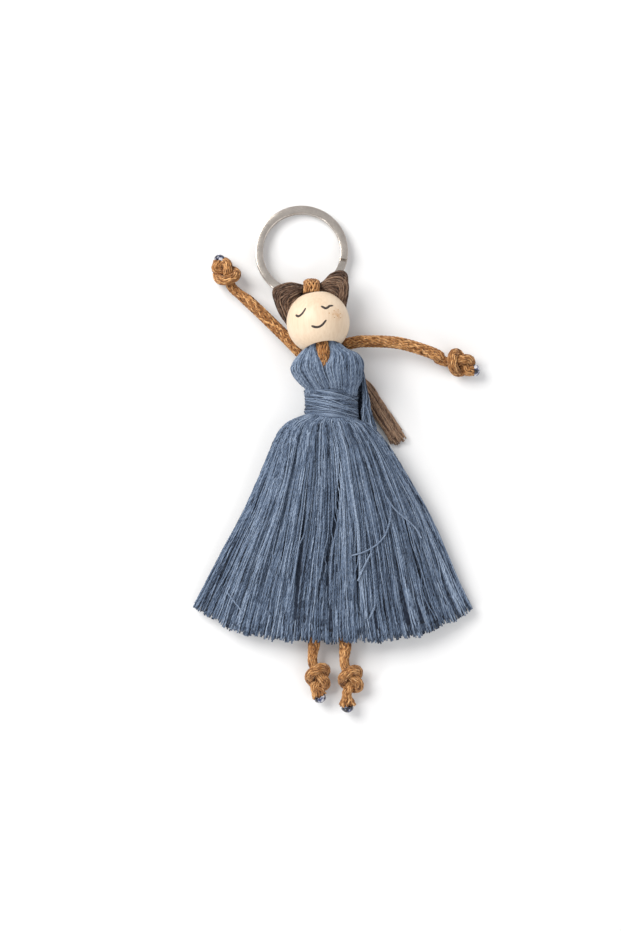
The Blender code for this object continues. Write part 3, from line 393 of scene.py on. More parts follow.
def add_piece(mesh, finish, body, replaced=()):
    """Link a finished mesh as a piece that rides on a body and stands for CAD nodes."""
    piece = bpy.data.objects.new(mesh.name, mesh)
    bpy.context.scene.collection.objects.link(piece)
    mesh.materials.append(finish)
    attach(piece, body)
    if replaced:
        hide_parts(*replaced)
    return piece


# Finishes

def new_finish(name, roughness, metallic=0.0, **settings):
    """A material with its Principled shader, whose fixed values are set on its sockets."""
    finish = bpy.data.materials.new(name)
    finish.use_nodes = True
    shader = finish.node_tree.nodes["Principled BSDF"]
    shader.inputs["Roughness"].default_value = roughness
    shader.inputs["Metallic"].default_value = metallic
    for socket, value in settings.items():
        shader.inputs[socket.replace("_", " ")].default_value = value
    return finish, finish.node_tree, shader


def step(tree, kind, *inputs, **settings):
    """A node of a kind; each input is a socket to link, a value to set, or None to leave."""
    node = tree.nodes.new("ShaderNode" + kind)
    for name, value in settings.items():
        setattr(node, name, value)
    for socket, value in zip(node.inputs, inputs):
        if isinstance(value, bpy.types.NodeSocket):
            tree.links.new(value, socket)
        elif value is not None:
            socket.default_value = value
    return node.outputs[0]


def maths(tree, operation, *inputs):
    """A Math node's result."""
    return step(tree, "Math", *inputs, operation=operation)


def ramp(tree, factor, *stops):
    """A colour ramp through stops of a place from 0 to 1 and a colour."""
    node = tree.nodes.new("ShaderNodeValToRGB")
    tree.links.new(factor, node.inputs[0])
    marks = node.color_ramp.elements
    while len(marks) < len(stops):
        marks.new(0.5)
    for mark, (where, colour) in zip(marks, stops):
        mark.position = where
        mark.color = (*colour, 1.0)
    return node.outputs[0]


def noise(tree, vector, scale, detail=3.0):
    """Smooth noise from 0 to 1 at a scale in waves per metre."""
    node = tree.nodes.new("ShaderNodeTexNoise")
    tree.links.new(vector, node.inputs["Vector"])
    node.inputs["Scale"].default_value = scale
    node.inputs["Detail"].default_value = detail
    return node.outputs["Fac"]


def stretched(tree, vector, scale):
    """The vector scaled by three unlike factors, so that a pattern is drawn out along one."""
    node = tree.nodes.new("ShaderNodeMapping")
    tree.links.new(vector, node.inputs["Vector"])
    node.inputs["Scale"].default_value = scale
    return node.outputs["Vector"]


def coordinates(tree, kind):
    """A piece's own Object or UV coordinates."""
    return tree.nodes.new("ShaderNodeTexCoord").outputs[kind]


def own_shade(tree):
    """The shade that each point of a mesh carries."""
    node = tree.nodes.new("ShaderNodeAttribute")
    node.attribute_name = "shade"
    return node.outputs["Fac"]


def paint(tree, shader, factor, *stops):
    """The shader's base colour from a ramp through the stops."""
    tree.links.new(ramp(tree, factor, *stops), shader.inputs["Base Color"])


def bump(tree, shader, height, strength, distance):
    """Fine relief on the shader's normal, which the shape itself doesn't carry."""
    node = tree.nodes.new("ShaderNodeBump")
    node.inputs["Strength"].default_value = strength
    node.inputs["Distance"].default_value = distance
    tree.links.new(height, node.inputs["Height"])
    tree.links.new(node.outputs["Normal"], shader.inputs["Normal"])


def yarn_finish(name, tones, twist, plies=2, sheen=0.12, flecks=0.0):
    """Spun yarn: a tone from each strand's own shade, with plies that wind round it.

    The plies are sin(2 pi (plies * u + v / twist) + 300 times the shade), with u round the strand
    and v along it, so that no two strands show theirs side by side.
    """
    finish, tree, shader = new_finish(name, 0.86, Sheen_Weight=sheen, Sheen_Roughness=0.45,
                                      Specular_IOR_Level=0.25)
    shade, spot = own_shade(tree), coordinates(tree, "Object")
    parts = tree.nodes.new("ShaderNodeSeparateXYZ")
    tree.links.new(coordinates(tree, "UV"), parts.inputs[0])
    u, v = parts.outputs["X"], parts.outputs["Y"]
    start = maths(tree, "MULTIPLY_ADD", shade, 300.0, maths(tree, "MULTIPLY", u, 2 * math.pi * plies))
    ply = maths(tree, "SINE", maths(tree, "ADD", start, maths(tree, "MULTIPLY", v, 2 * math.pi / twist)))
    patches = maths(tree, "SUBTRACT", noise(tree, spot, 420.0), 0.5)
    fibres = maths(tree, "SUBTRACT", noise(tree, spot, 5200.0, 2.0), 0.5)
    tone = shade
    # The ply sine darkens the tone in the grooves between plies and lightens it on their crowns: painted
    # shade and painted highlight.
    for part, share in ((patches, 0.35), (fibres, 0.35), (ply, 0.11)):
        tone = maths(tree, "MULTIPLY_ADD", part, share, tone)
    if flecks:
        spin = stretched(tree, step(tree, "CombineXYZ", u, v, shade), (4.0, 620.0, 300.0))
        specks = maths(tree, "SUBTRACT", noise(tree, spin, 1.0, 2.0), 0.5)
        tone = maths(tree, "MULTIPLY_ADD", specks, flecks, tone)
    paint(tree, shader, tone, *zip((0.0, 0.5, 1.0), tones))
    bump(tree, shader, maths(tree, "MULTIPLY_ADD", fibres, 0.6, ply), 0.55, 0.00012)
    return finish


def mottled_finish(name, roughness, scale, detail, *stops, relief=None, **settings):
    """A finish whose colour follows plain noise, and its relief too where strength and height are given."""
    finish, tree, shader = new_finish(name, roughness, **settings)
    spread = noise(tree, coordinates(tree, "Object"), scale, detail)
    paint(tree, shader, spread, *stops)
    if relief:
        bump(tree, shader, spread, *relief)
    return finish


# Dark, middle and light tones
BLUE_TONES = ((0.008, 0.013, 0.026), (0.100, 0.141, 0.215), (0.300, 0.370, 0.480))
BROWN_TONES = ((0.012, 0.006, 0.004), (0.100, 0.054, 0.034), (0.360, 0.230, 0.150))
CORD_TONES = ((0.055, 0.017, 0.003), (0.350, 0.150, 0.047), (0.820, 0.470, 0.200))


def wood_finish():
    """Pale turned wood: grain drawn out along Y, soft blotches, and a warm blush on one cheek."""
    finish, tree, shader = new_finish("pale_wood", 0.50, Coat_Weight=0.12, Coat_Roughness=0.35)
    spot = coordinates(tree, "Object")
    grain = noise(tree, stretched(tree, spot, (1500.0, 160.0, 1500.0)), 1.0, 4.0)
    blotch = noise(tree, spot, 130.0, 2.0)
    tone = maths(tree, "MULTIPLY_ADD", grain, 0.55, maths(tree, "MULTIPLY", blotch, 0.45))
    colour = ramp(tree, tone, (0.30, (0.66, 0.49, 0.33)), (0.52, (0.73, 0.57, 0.41)),
                  (0.75, (0.77, 0.63, 0.47)))
    patchy = ramp(tree, noise(tree, spot, 1100.0, 2.0), (0.36, (0.1, 0.1, 0.1)), (0.62, (1.0, 1.0, 1.0)))
    mix = tree.nodes.new("ShaderNodeMix")
    mix.data_type = "RGBA"
    tree.links.new(maths(tree, "MULTIPLY", own_shade(tree), patchy), mix.inputs["Factor"])
    tree.links.new(colour, mix.inputs["A"])
    mix.inputs["B"].default_value = (0.58, 0.30, 0.12, 1.0)
    tree.links.new(mix.outputs["Result"], shader.inputs["Base Color"])
    tree.links.new(maths(tree, "MULTIPLY_ADD", grain, 0.25, 0.36), shader.inputs["Roughness"])
    bump(tree, shader, grain, 0.10, 0.00006)
    return finish


def steel_finish():
    """Plated steel: fine brushing drawn out along the wire, and faint smudges in its gloss."""
    finish, tree, shader = new_finish("plated_steel", 0.28, 1.0)
    brushed = noise(tree, stretched(tree, coordinates(tree, "UV"), (40.0, 260.0, 1.0)), 4.0, 4.0)
    smudge = noise(tree, coordinates(tree, "Object"), 300.0)
    tone = maths(tree, "MULTIPLY_ADD", brushed, 0.5, maths(tree, "MULTIPLY", smudge, 0.5))
    paint(tree, shader, tone, (0.30, (0.50, 0.45, 0.40)), (0.70, (0.66, 0.60, 0.54)))
    tree.links.new(maths(tree, "MULTIPLY_ADD", tone, 0.26, 0.08), shader.inputs["Roughness"])
    bump(tree, shader, brushed, 0.06, 0.00003)
    return finish


BLUE_YARN = yarn_finish("blue_yarn", BLUE_TONES, 0.0016, flecks=0.8)
BROWN_YARN = yarn_finish("brown_yarn", BROWN_TONES, 0.0018, flecks=0.8)
# Finishes without plies for the cores and linings, whose near-black shade is painted shade.
BLUE_DEPTHS = yarn_finish("blue_depths", BLUE_TONES, 1.0, plies=0)
BROWN_DEPTHS = yarn_finish("brown_depths", BROWN_TONES, 1.0, plies=0)
TAN_CORD = yarn_finish("tan_cord", CORD_TONES, 0.0030, sheen=0.15, flecks=1.5)
PALE_WOOD = wood_finish()
STEEL = steel_finish()
INK = mottled_finish("face_ink", 0.55, 2500.0, 2.0, (0.35, (0.018, 0.012, 0.010)),
                     (0.75, (0.060, 0.038, 0.030)))
FRECKLE = mottled_finish("freckles", 0.6, 1800.0, 2.0, (0.3, (0.40, 0.19, 0.07)), (0.7, (0.62, 0.36, 0.17)))
# Dark glossy sealer on the cords' ends, with pale grey noise patches that are painted glints
SEALED = mottled_finish("sealed_end", 0.16, 700.0, 3.0, (0.44, (0.010, 0.010, 0.018)),
                        (0.54, (0.030, 0.045, 0.120)), (0.62, (0.560, 0.560, 0.600)),
                        relief=(0.25, 0.00020), Coat_Weight=0.6, Coat_Roughness=0.08)
FLOOR = mottled_finish("white_table", 0.75, 60.0, 3.0, (0.0, (0.81, 0.81, 0.81)), (1.0, (0.85, 0.85, 0.85)),
                       Specular_IOR_Level=0.2)

HEAD = placed(HEAD_PLACE)
HEAD_TURN = np.array(Matrix.Rotation(HEAD_TILT, 3, "Z") @ Matrix.Rotation(-HEAD_PITCH, 3, "X"))
HEAD_AXIS = HEAD_TURN @ AHEAD
HEAD_FRONT = HEAD_TURN @ UP
MOUTH_DISTANCE = math.sqrt((BEAD_DIAMETER / 2) ** 2 - (BEAD_BORE / 2) ** 2)
TOP_MOUTH = HEAD + HEAD_AXIS * MOUTH_DISTANCE
BOTTOM_MOUTH = HEAD - HEAD_AXIS * MOUTH_DISTANCE


# Key ring

def ring_route():
    """The wire's middle: nearly two turns at one radius, stepping up one coil in a short arc."""
    count = 720
    turn = np.linspace(0, RING_TURNS_DEGREES, count)
    low, high = RING_STEP_DEGREES
    level = (RING_COIL_HEIGHT + RING_COIL_GAP) * (ease((turn - low) / (high - low)) - 0.5)
    angle = np.radians(RING_START_DEGREES - turn)
    radius = (RING_OUTER - RING_WIRE_WIDTH) / 2
    return np.stack([radius * np.cos(angle), radius * np.sin(angle), level], axis=-1)


def rounded_outline(width, height, edge, steps=4):
    """A rectangle with quarter-circle corners, as places across and up."""
    turn = np.radians(np.linspace(0, 90, steps))
    corners = []
    for quarter, (sx, sy) in enumerate(((1, 1), (-1, 1), (-1, -1), (1, -1))):
        a = turn + math.pi / 2 * quarter
        across = sx * (width / 2 - edge) + edge * np.cos(a)
        corners.append(np.stack([across, sy * (height / 2 - edge) + edge * np.sin(a)], axis=-1))
    return np.concatenate(corners)


def make_ring():
    """The wire's rings, leant on the loop's thickness and lifted clear of the floor."""
    route = ring_route()
    _, side, top = axes_along(route, UP)
    outline = rounded_outline(RING_WIRE_WIDTH, RING_COIL_HEIGHT, RING_EDGE)
    rings = route[:, None] + side[:, None] * outline[:, :1] + top[:, None] * outline[:, 1:]
    lean = math.asin((LOOP_THICKNESS + 2 * CLEARANCE) / (RING_OUTER - RING_WIRE_WIDTH))
    thick = 2 * RING_COIL_HEIGHT + RING_COIL_GAP
    low = thick / 2 * math.cos(lean) + RING_OUTER / 2 * math.sin(lean)
    turned = rings @ np.array(Matrix.Rotation(-lean, 3, "X")).T
    mesh = tube_mesh("split_ring", (turned + placed((*RING_CENTRE, low)))[None])
    mesh.set_sharp_from_angle(angle=math.radians(35.0))
    add_piece(mesh, STEEL, "ring", ["key_ring"])


# Head

def bead_rings():
    """A ball of rings about the bore, rounded into the bore's wall at both mouths."""
    radius, bore = BEAD_DIAMETER / 2, BEAD_BORE / 2
    first = math.asin((bore + BEAD_MOUTH_ROUND) / radius)
    ball = np.linspace(first, math.pi - first, 97)
    outside = np.stack([radius * np.sin(ball), radius * np.cos(ball)], axis=-1)
    deep = outside[0, 1] - BEAD_MOUTH_ROUND
    turn = np.radians(np.linspace(0, 90, 7))[1:]
    mouth = np.stack([bore + BEAD_MOUTH_ROUND * (1 - np.sin(turn)),
                      -deep - BEAD_MOUTH_ROUND * np.cos(turn)], axis=-1)
    inside = np.stack([np.full(9, bore), np.linspace(-deep, deep, 11)[1:-1]], axis=-1)
    profile = np.concatenate([outside, mouth, inside, mouth[::-1] * (1, -1)])
    around = 2 * math.pi * np.arange(192) / 192
    circle = np.stack([np.cos(around), np.zeros(192), np.sin(around)], axis=-1)
    return profile[:, :1, None] * circle + profile[:, 1:, None] * AHEAD


def ring_of_rings_mesh(name, rings, shade):
    """A closed body whose rows of points join up both ways, like a turned ring."""
    m, k = rings.shape[:2]
    index = np.arange(m * k).reshape(m, k)
    right, down = np.roll(index, -1, axis=1), np.roll(index, -1, axis=0)
    both = np.roll(down, -1, axis=1)
    quads = np.stack([index, right, both, down], axis=-1).reshape(-1, 4)
    spots = rings.reshape(-1, 3)
    u, v = np.meshgrid(np.arange(k) / k, np.arange(m) / m)
    quad_uv = np.stack([u, v], axis=-1).reshape(-1, 2)[quads]
    return fill_mesh(name, spots, quads, np.zeros((0, 3), int), quad_uv, np.zeros((0, 3, 2)), shade)


# Face, seen from above the bead's middle: blush, inked lines and freckles
CHEEK = (0.0061, 0.0019)
CHEEK_SIZE = (0.0017, 0.0019)
FACE_LINE = 0.00036
FACE_LINES = {
    "eye_left": mm((-7.1, 1.92), (-6.5, 1.45), (-5.95, 1.45), (-5.05, 2.15), (-4.3, 3.2), (-3.92, 4)),
    "eye_right": mm((0.88, 4.52), (1.6, 4.1), (2.35, 3.8), (3.1, 4.15), (3.6, 4.6), (4.75, 4.78)),
    "smile": mm((-2.15, -1.72), (-1.2, -2.05), (-0.45, -2.15), (0.5, -1.95), (1.4, -1.3), (2.1, -0.45),
                (2.62, 0.15)),
}
FRECKLES = mm((4.6, 1.9), (5.1, 0.9), (6, 1.4), (6.9, 2.2), (4.9, 3), (6.2, 3.4), (3.4, 2.2), (7, 0.9))


def on_bead(places):
    """Places seen from straight above the bead, as points on its surface."""
    rise = np.sqrt((BEAD_DIAMETER / 2) ** 2 - (places ** 2).sum(axis=-1))
    return HEAD + np.concatenate([places, rise[..., None]], axis=-1)


def make_head():
    """The bead, its inked face and its freckles; the blush is a bell round the cheek."""
    rings = bead_rings() @ HEAD_TURN.T + HEAD
    spots = rings.reshape(-1, 3) - HEAD
    off = ((spots[:, :2] - CHEEK) / CHEEK_SIZE) ** 2
    blush = np.where(spots[:, 2] > 0, 0.60 * np.exp(-off.sum(axis=1)), 0.0)
    add_piece(ring_of_rings_mesh("wooden_bead", rings, blush), PALE_WOOD, "head", ["head_bead"])
    for name, places in FACE_LINES.items():
        line = evenly(on_bead(curve_through(places, 40)), FACE_LINE / 2)
        share = np.linspace(-1, 1, len(line))
        width = FACE_LINE * np.sqrt(np.clip(1 - np.abs(share) ** 8, 0.04, 1)) * (1 - 0.12 * share)
        rings = rings_round(line, width, unit(line - HEAD), 10, 0.18)
        add_piece(tube_mesh(name, rings[None]), INK, "head")
    spots = on_bead(FRECKLES)
    size = np.array((0.5, 1.0, 0.5))
    line = spots[:, None] + unit(ACROSS + AHEAD) * 0.00026 * np.array((-1, 0, 1))[:, None]
    rings = rings_round(line, 0.00018 * size, unit(line - HEAD), 8, 0.15)
    add_piece(tube_mesh("freckles", rings), FRECKLE, "head")


# Braided cords

def braid(route, width, height, up, fray=None):
    """Rings of a round braid's strands about a route, with a dark core as the last tube.

    Strand j of each half lies at the angle way (2 pi s / pitch) + 2 pi j / carriers, with s the
    distance along. Its distance from the middle is 0.84 of the cord's half width times
    1 + way 0.07 cos(carriers * turn), so that the halves pass over and under one another.
    Over the last 2 mm, each strand ends by its own share of fray sooner or later.
    """
    s = distance_along(route)
    ahead, side, top = axes_along(route, up)
    turn = 2 * math.pi * s / BRAID_PITCH
    half_w = np.broadcast_to(width, s.shape) / 2
    half_h = np.broadcast_to(height, s.shape) / 2
    j = np.tile(np.arange(CARRIERS), 2)[:, None]
    way = np.repeat((1, -1), CARRIERS)[:, None]
    angle = way * turn + 2 * math.pi * j / CARRIERS
    reach = 0.84 * (1 + way * 0.07 * np.cos(CARRIERS * turn))
    out = side * (np.cos(angle) * half_w)[..., None] + top * (np.sin(angle) * half_h)[..., None]
    strands = route + out * reach[..., None]
    if fray is not None:
        strands = strands + ahead * (fray[:, None] * ease((s - s[-1] + 0.002) / 0.002))[..., None]
    strands = rings_round(strands, 0.175 * (half_w + half_h) / 2, unit(out), 6, 0.85)
    core = oval_rings(route, 0.74 * side * half_w[:, None], 0.74 * top * half_h[:, None], 6)
    return np.concatenate([strands, core[None]])


def make_cord(name, route, width, height, up, body, node, seed, frayed=0.0):
    """A braided cord whose strands differ a little in shade, over a core of darker shade, painted shade
    between the strands.
    """
    seeds = np.random.default_rng(seed)
    fray = seeds.uniform(-frayed, frayed, 2 * CARRIERS) if frayed else None
    rings = braid(route, width, height, up, fray)
    # The core's shade of 0.22, darker than any strand, is painted shade between the strands.
    mesh = tube_mesh(name, rings, np.append(seeds.uniform(0.30, 0.74, 2 * CARRIERS), 0.22))
    return add_piece(mesh, TAN_CORD, body, [node])


def make_loop():
    """The flat loop: its route is set 0.6 mm to the left over the bead's upper mouth."""
    route = TOP_MOUTH + np.asarray([(-0.0006, y, z) for y, z in LOOP_ROUTE])
    route = smooth_route(route, 200, 0.00025)
    above = np.cross(ACROSS, np.gradient(route, axis=0))
    make_cord("loop_cord", route, LOOP_WIDTH, LOOP_THICKNESS * 1.15, above, "loop", "cord_loop", 3)


def make_neck():
    """The two runs through the bead, 2 mm before and behind its axis, and the arm cord's middle."""
    size = NECK_CORD_DIAMETER * 1.12
    for name, way, places in (("front", 1, NECK_FRONT_ROUTE), ("back", -1, NECK_BACK_ROUTE)):
        across = HEAD_FRONT * (way * RUN_OFFSET)
        inside = [TOP_MOUTH - HEAD_AXIS * LOOP_THICKNESS + across, HEAD + across, BOTTOM_MOUTH + across]
        route = smooth_route(np.concatenate([inside, placed(places)]), 200)
        name = "neck_cord_" + name
        make_cord(name + "_braid", route, size, size, UP, "dress", name, 5 + way)
    route = smooth_route(placed(ARM_MIDDLE_ROUTE), 100)
    make_cord("arm_middle_braid", route, CORD_DIAMETER, CORD_DIAMETER, UP, "dress", "arm_cord_middle", 8)


def knot_points(centre, heading, mirrored):
    """The route of a tight overhand knot along a heading in the floor's plane."""
    along = level_way(heading)
    side = np.array((-along[1], along[0], 0.0)) * (-1 if mirrored else 1)
    outward = np.asarray(KNOT_ROUTE) - KNOT_CENTRE
    inward = (outward * (-1, 1, -1))[:0:-1]
    spots = np.concatenate([inward, outward])
    return centre + (spots[:, :1] * along + spots[:, 1:2] * side + spots[:, 2:] * UP) * KNOT_PITCH


def limb_route(places, hand):
    """A limb's whole route, from its joint through its knot to its cut end."""
    middle, mirrored, steps, turn, _ = hand
    start, centre = placed(places), placed(middle)
    span = centre - start[-1]
    heading = math.atan2(span[1], span[0])
    along = level_way(heading)
    onward = level_way(heading + turn) * KNOT_PITCH
    knot = knot_points(centre, heading, mirrored)[:-1 if turn else None]
    sink = -0.1 * KNOT_PITCH * UP
    before = knot[0] - along * 0.8 * KNOT_PITCH + sink
    after = knot[-1] + onward * steps[0] + sink
    last = after + onward * steps[1] + sink
    straight = smooth_route(start, 200)
    tied = smooth_route(np.vstack([start[-1], before, knot, after, last]), 500)
    return np.concatenate([straight[:-1], tied]), len(straight)


def make_limb(name, places, hand, thickness, body, seed, root=0.4):
    """A braided limb with a real overhand knot, thinner where the knot draws it tight.

    Its hidden start is rounded over a length of root times the thickness.
    """
    route, tied = limb_route(places, hand)
    s = distance_along(route)
    after = s - s[tied - 1]
    left = s[-1] - s
    width = thickness + (KNOT_CORD_DIAMETER - thickness) * ease(after / (1.6 * KNOT_PITCH))
    width = width * np.sqrt(np.clip(1 - (1 - s / (root * thickness)).clip(0) ** 2, 0.05, 1))
    wide = width * (1 + (hand[4] - 1) * (1 - ease(left / (1.1 * KNOT_PITCH))))
    cord = make_cord(name + "_cord", route, wide, width, UP, body, name, seed, FRAY)
    way = unit(route[-1] - route[-4])
    tip = make_tip(name + "_end", route[-1] + way * CLEARANCE, way, body, name + "_tip")


def make_tip(name, start, way, body, node):
    """A cut end dipped in sealer: a short turned body with a round nose, a little lumpy.

    Lumps: the radius times 1 + 0.05 sin(3 t + 4 share) at the turn t, share of the way along.
    """
    sides = 20
    share = np.linspace(0, 1, 14)
    nose = np.sqrt(np.clip(1 - ((share - 0.35) / 0.66) ** 2, 0.02, 1))
    radius = TIP_DIAMETER / 2 * np.where(share < 0.35, 0.92 + 0.08 * share / 0.35, nose)
    route = start + way * (TIP_LENGTH * share)[:, None]
    turn = np.linspace(0, 2 * math.pi, sides, endpoint=False)
    lumps = 1 + 0.05 * np.sin(3 * turn + 4 * share[:, None])
    rings = route[:, None] + (rings_round(route, radius, UP, sides) - route[:, None]) * lumps[..., None]
    return add_piece(tube_mesh(name, rings[None]), SEALED, body, [node])


# Bundles of strands

def in_disc(seeds, count, least=0.0):
    """Places inside a circle, most of them near its rim, as a and b from -1 to 1."""
    turn = 2 * math.pi * (np.arange(count) * 0.618034 + seeds.uniform(0, 0.05, count))
    reach = np.sqrt(seeds.uniform(least ** 2, 1.0, count))
    return reach * np.cos(turn), reach * np.sin(turn)


def strands_through(sections, a, b, seeds, wander, cycles):
    """Routes through oval sections, at the share a of each half width and b of each half height.

    Sections are middle, half across and half above for every step of the way.
    """
    middle, across, above = sections
    share = np.linspace(0, 1, len(middle))[None, :].repeat(len(a), axis=0)
    drift_a = a[:, None] + wander * waves(seeds, share, cycles)
    drift_b = b[:, None] + wander * waves(seeds, share, cycles)
    size = np.maximum(np.sqrt(drift_a ** 2 + drift_b ** 2), 1.0)
    return middle + (drift_a / size)[..., None] * across + (drift_b / size)[..., None] * above


def lock_sections(rows, count, thread):
    """Oval sections from rows of inner edge, outer edge and thickness."""
    rows = curve_through(rows, count)
    inner, outer = rows[:, :3], rows[:, 3:6]
    middle, across = (inner + outer) / 2 + ORIGIN, (outer - inner) / 2
    above = unit(np.cross(across, np.gradient(middle, axis=0)))
    above = above * np.sign(above[:, 2:] + 1e-9) * rows[:, 6:] / 2
    half = np.linalg.norm(across, axis=1, keepdims=True)
    return middle, across * np.maximum(1 - thread / 2 / half, 0.3), above * 0.9


def bundle_sections(rows, count):
    """Oval sections from rows of middle, width and height, level across."""
    rows = curve_through(rows, count)
    middle = rows[:, :3] + ORIGIN
    _, side, top = axes_along(middle, UP)
    return middle, side * rows[:, 3:4] / 2, top * rows[:, 4:5] / 2


def squeezed(sections, wide):
    """How much thinner threads are drawn along a bundle where its half width is under wide."""
    return np.clip(np.linalg.norm(sections[1], axis=1) / wide, 0.5, 1.0)


def make_lock(name, rows, seed):
    """One half of the hair: strands round a core drawn nearly black, painted shade deep in the lock,
    kept off the bead.
    """
    seeds = np.random.default_rng(seed)
    sections = lock_sections(rows, 72, HAIR_THREAD)
    a, b = in_disc(seeds, HAIR_STRANDS, 0.45)
    routes = strands_through(sections, a, b, seeds, 0.20, 1.8)
    routes = outside_ball(routes, HEAD, BEAD_DIAMETER / 2 + THREAD_MARGIN)
    radius = HAIR_THREAD / 2 * squeezed(sections, 0.0026)[None, :]
    # Strands on the lock's upper side are up to 0.08 paler: painted light on its top.
    shade = np.clip(seeds.normal(0.48, 0.19, len(a)) + 0.08 * np.maximum(b, 0), 0.05, 0.95)
    mesh = tube_mesh(name + "_strands", rings_round(routes, radius, UP), shade)
    add_piece(mesh, BROWN_YARN, "dress", [name])
    middle, across, above = sections
    # The core's shade of 0.02 is painted shade deep in the lock.
    core = tube_mesh(name + "_core", oval_rings(middle, across * 0.62, above * 0.62, 16)[None], 0.02)
    add_piece(core, BROWN_DEPTHS, "dress", [name])


def make_bundle(name, rows, body, yarn, count, ragged, seed, tone=0.5, node=None):
    """A narrow bundle whose strands end a little unevenly, by up to ragged of its length."""
    seeds = np.random.default_rng(seed)
    steps = 48
    sections = bundle_sections(rows, steps)
    a, b = in_disc(seeds, count, 0.2)
    routes = strands_through(sections, a * 0.86, b * 0.86, seeds, 0.22, 1.5)
    last = seeds.uniform(1 - ragged, 1.0, count)
    picks = np.linspace(0, 1, 40)[None, :] * last[:, None] * (steps - 1)
    low = np.minimum(picks.astype(int), steps - 2)
    f = (picks - low)[..., None]
    strand = np.arange(count)[:, None]
    routes = routes[strand, low] * (1 - f) + routes[strand, low + 1] * f
    radius = HAIR_THREAD / 2 * np.interp(picks, np.arange(steps), squeezed(sections, 0.0020))
    shade = np.clip(seeds.normal(tone, 0.16, count), 0.02, 0.95)
    mesh = tube_mesh(name + "_strands", rings_round(routes, radius, UP), shade)
    add_piece(mesh, yarn, body, [node or name])


def make_tie():
    """Turns of brown yarn round the ends of both locks, where the tail starts."""
    rows = np.concatenate([HAIR_LEFT[-2:], HAIR_RIGHT[-2:]])
    edges = np.concatenate([rows[:, :3], rows[:, 3:6]]) + ORIGIN
    centre = edges.mean(axis=0)
    ahead = unit(HAIR_LEFT[-1, :3] - HAIR_LEFT[-2, :3])
    side = unit(np.cross(ahead, UP))
    margin = CLEARANCE + HAIR_THREAD / 2
    wide = np.abs((edges - centre) @ side).max() + 2 * margin
    high = HAIR_LEFT[-1, 6] / 2 + margin
    turn = np.linspace(0, 2 * math.pi * TIE_TURNS, 200)[:, None]
    route = centre + ahead * (turn / (2 * math.pi) - TIE_TURNS / 2) * HAIR_THREAD * 1.1
    route = route + side * wide * np.cos(turn) + UP * high * np.sin(turn)
    mesh = tube_mesh("tail_tie", rings_round(route[None], HAIR_THREAD / 2, ahead), 0.35)
    add_piece(mesh, BROWN_YARN, "dress", ["hair_tie"])


# Dress

def add_blue(mesh, node, finish=BLUE_YARN):
    """A piece of blue yarn on the dress."""
    return add_piece(mesh, finish, "dress", [node])


def bodice_threads(rows, seam_side, count, depth, seeds):
    """Threads up a bodice half's front, over its top edge and down its back.

    At the share a of the half width, with r the corner's roundness on that side, the face's
    height is the half depth times (1 - |a| to the power 2 / r) to the power 0.35.
    """
    steps = 19
    level, left, right, back, front = curve_through(rows, steps).T
    a = np.linspace(-0.985, 0.985, count) + seeds.uniform(-0.02, 0.02, count)
    sway = 0.07 * waves(seeds, np.linspace(0, 1, steps)[None].repeat(count, 0), 1.0)
    a = np.clip(np.clip(a, -0.99, 0.99)[:, None] + sway, -0.99, 0.99)
    power = 2 / np.where(a * seam_side > 0, 0.24, 0.8)
    face = np.clip(1 - np.abs(a) ** power, 0, 1) ** 0.35
    half = (front - back) / 2 - THREAD / 2 - depth
    x = (left + right) / 2 + (right - left) / 2 * (a * (1 - 0.2 * depth / 0.001))
    y = level[None, :].repeat(count, axis=0)
    middle = (front + back) / 2
    up_front = np.stack([x, y, middle + half * face], axis=-1)
    down_back = np.stack([x, y, middle - half * face], axis=-1)[:, ::-1]
    high = down_back[..., 1] > ARM_ROOM_START
    down_back[high, 2] = np.maximum(down_back[high, 2], ARM_ROOM_TOP)
    tuck = up_front[:, :1] * (0.96, 1, 1) + (0, -0.0024, -0.0011)
    tuck_back = down_back[:, -1:] * (0.96, 1, 1) + (0, -0.0024, 0.0010)
    top = (up_front[:, -1:] + down_back[:, :1]) / 2 + (0, 0.00075, 0)
    routes = np.concatenate([tuck, up_front, top, down_back, tuck_back], axis=1)
    return clear_of_bead(curve_through(routes + ORIGIN, 64), THREAD_MARGIN)


def make_bodice(name, rows, seam_side, seed):
    """Three ranks of threads over a core drawn nearly black, painted shade under them, with room for the
    arm cord behind.
    """
    seeds = np.random.default_rng(seed)
    routes = np.concatenate([bodice_threads(rows, seam_side, count, depth, seeds)
                             for count, depth in ((40, 0.0), (34, 0.0005), (26, 0.0010))])
    shade = np.clip(seeds.normal(0.60, 0.16, len(routes)), 0.08, 0.95)
    add_blue(tube_mesh(name + "_threads", rings_round(routes, THREAD / 2 * 1.1, ACROSS), shade), name)
    rows = curve_through(rows, 16) + (ORIGIN[1], ORIGIN[0], ORIGIN[0], 0, 0)
    level, left, right, back, front = rows.T
    back = np.where(level > ARM_ROOM_START, np.maximum(back, ARM_ROOM_TOP), back)
    turn = 2 * math.pi * (np.arange(24) + 0.5) / 24
    c, s = np.cos(turn)[None], np.sin(turn)[None]
    half = (right - left)[:, None] / 2 * 0.78
    deep = np.maximum((front - back)[:, None] / 2 - 0.0013, 0.0004)
    rings = np.stack([(left + right)[:, None] / 2 + half * np.sign(c) * np.abs(c) ** 0.6,
                      level[:, None].repeat(24, axis=1),
                      (front + back)[:, None] / 2 + deep * np.sign(s) * np.abs(s) ** 0.7], axis=-1)
    rings = clear_of_bead(rings, 0.0010)
    # The core's shade of 0.02 is painted shade under the threads.
    add_blue(tube_mesh(name + "_core", rings[None], 0.02), name, BLUE_DEPTHS)


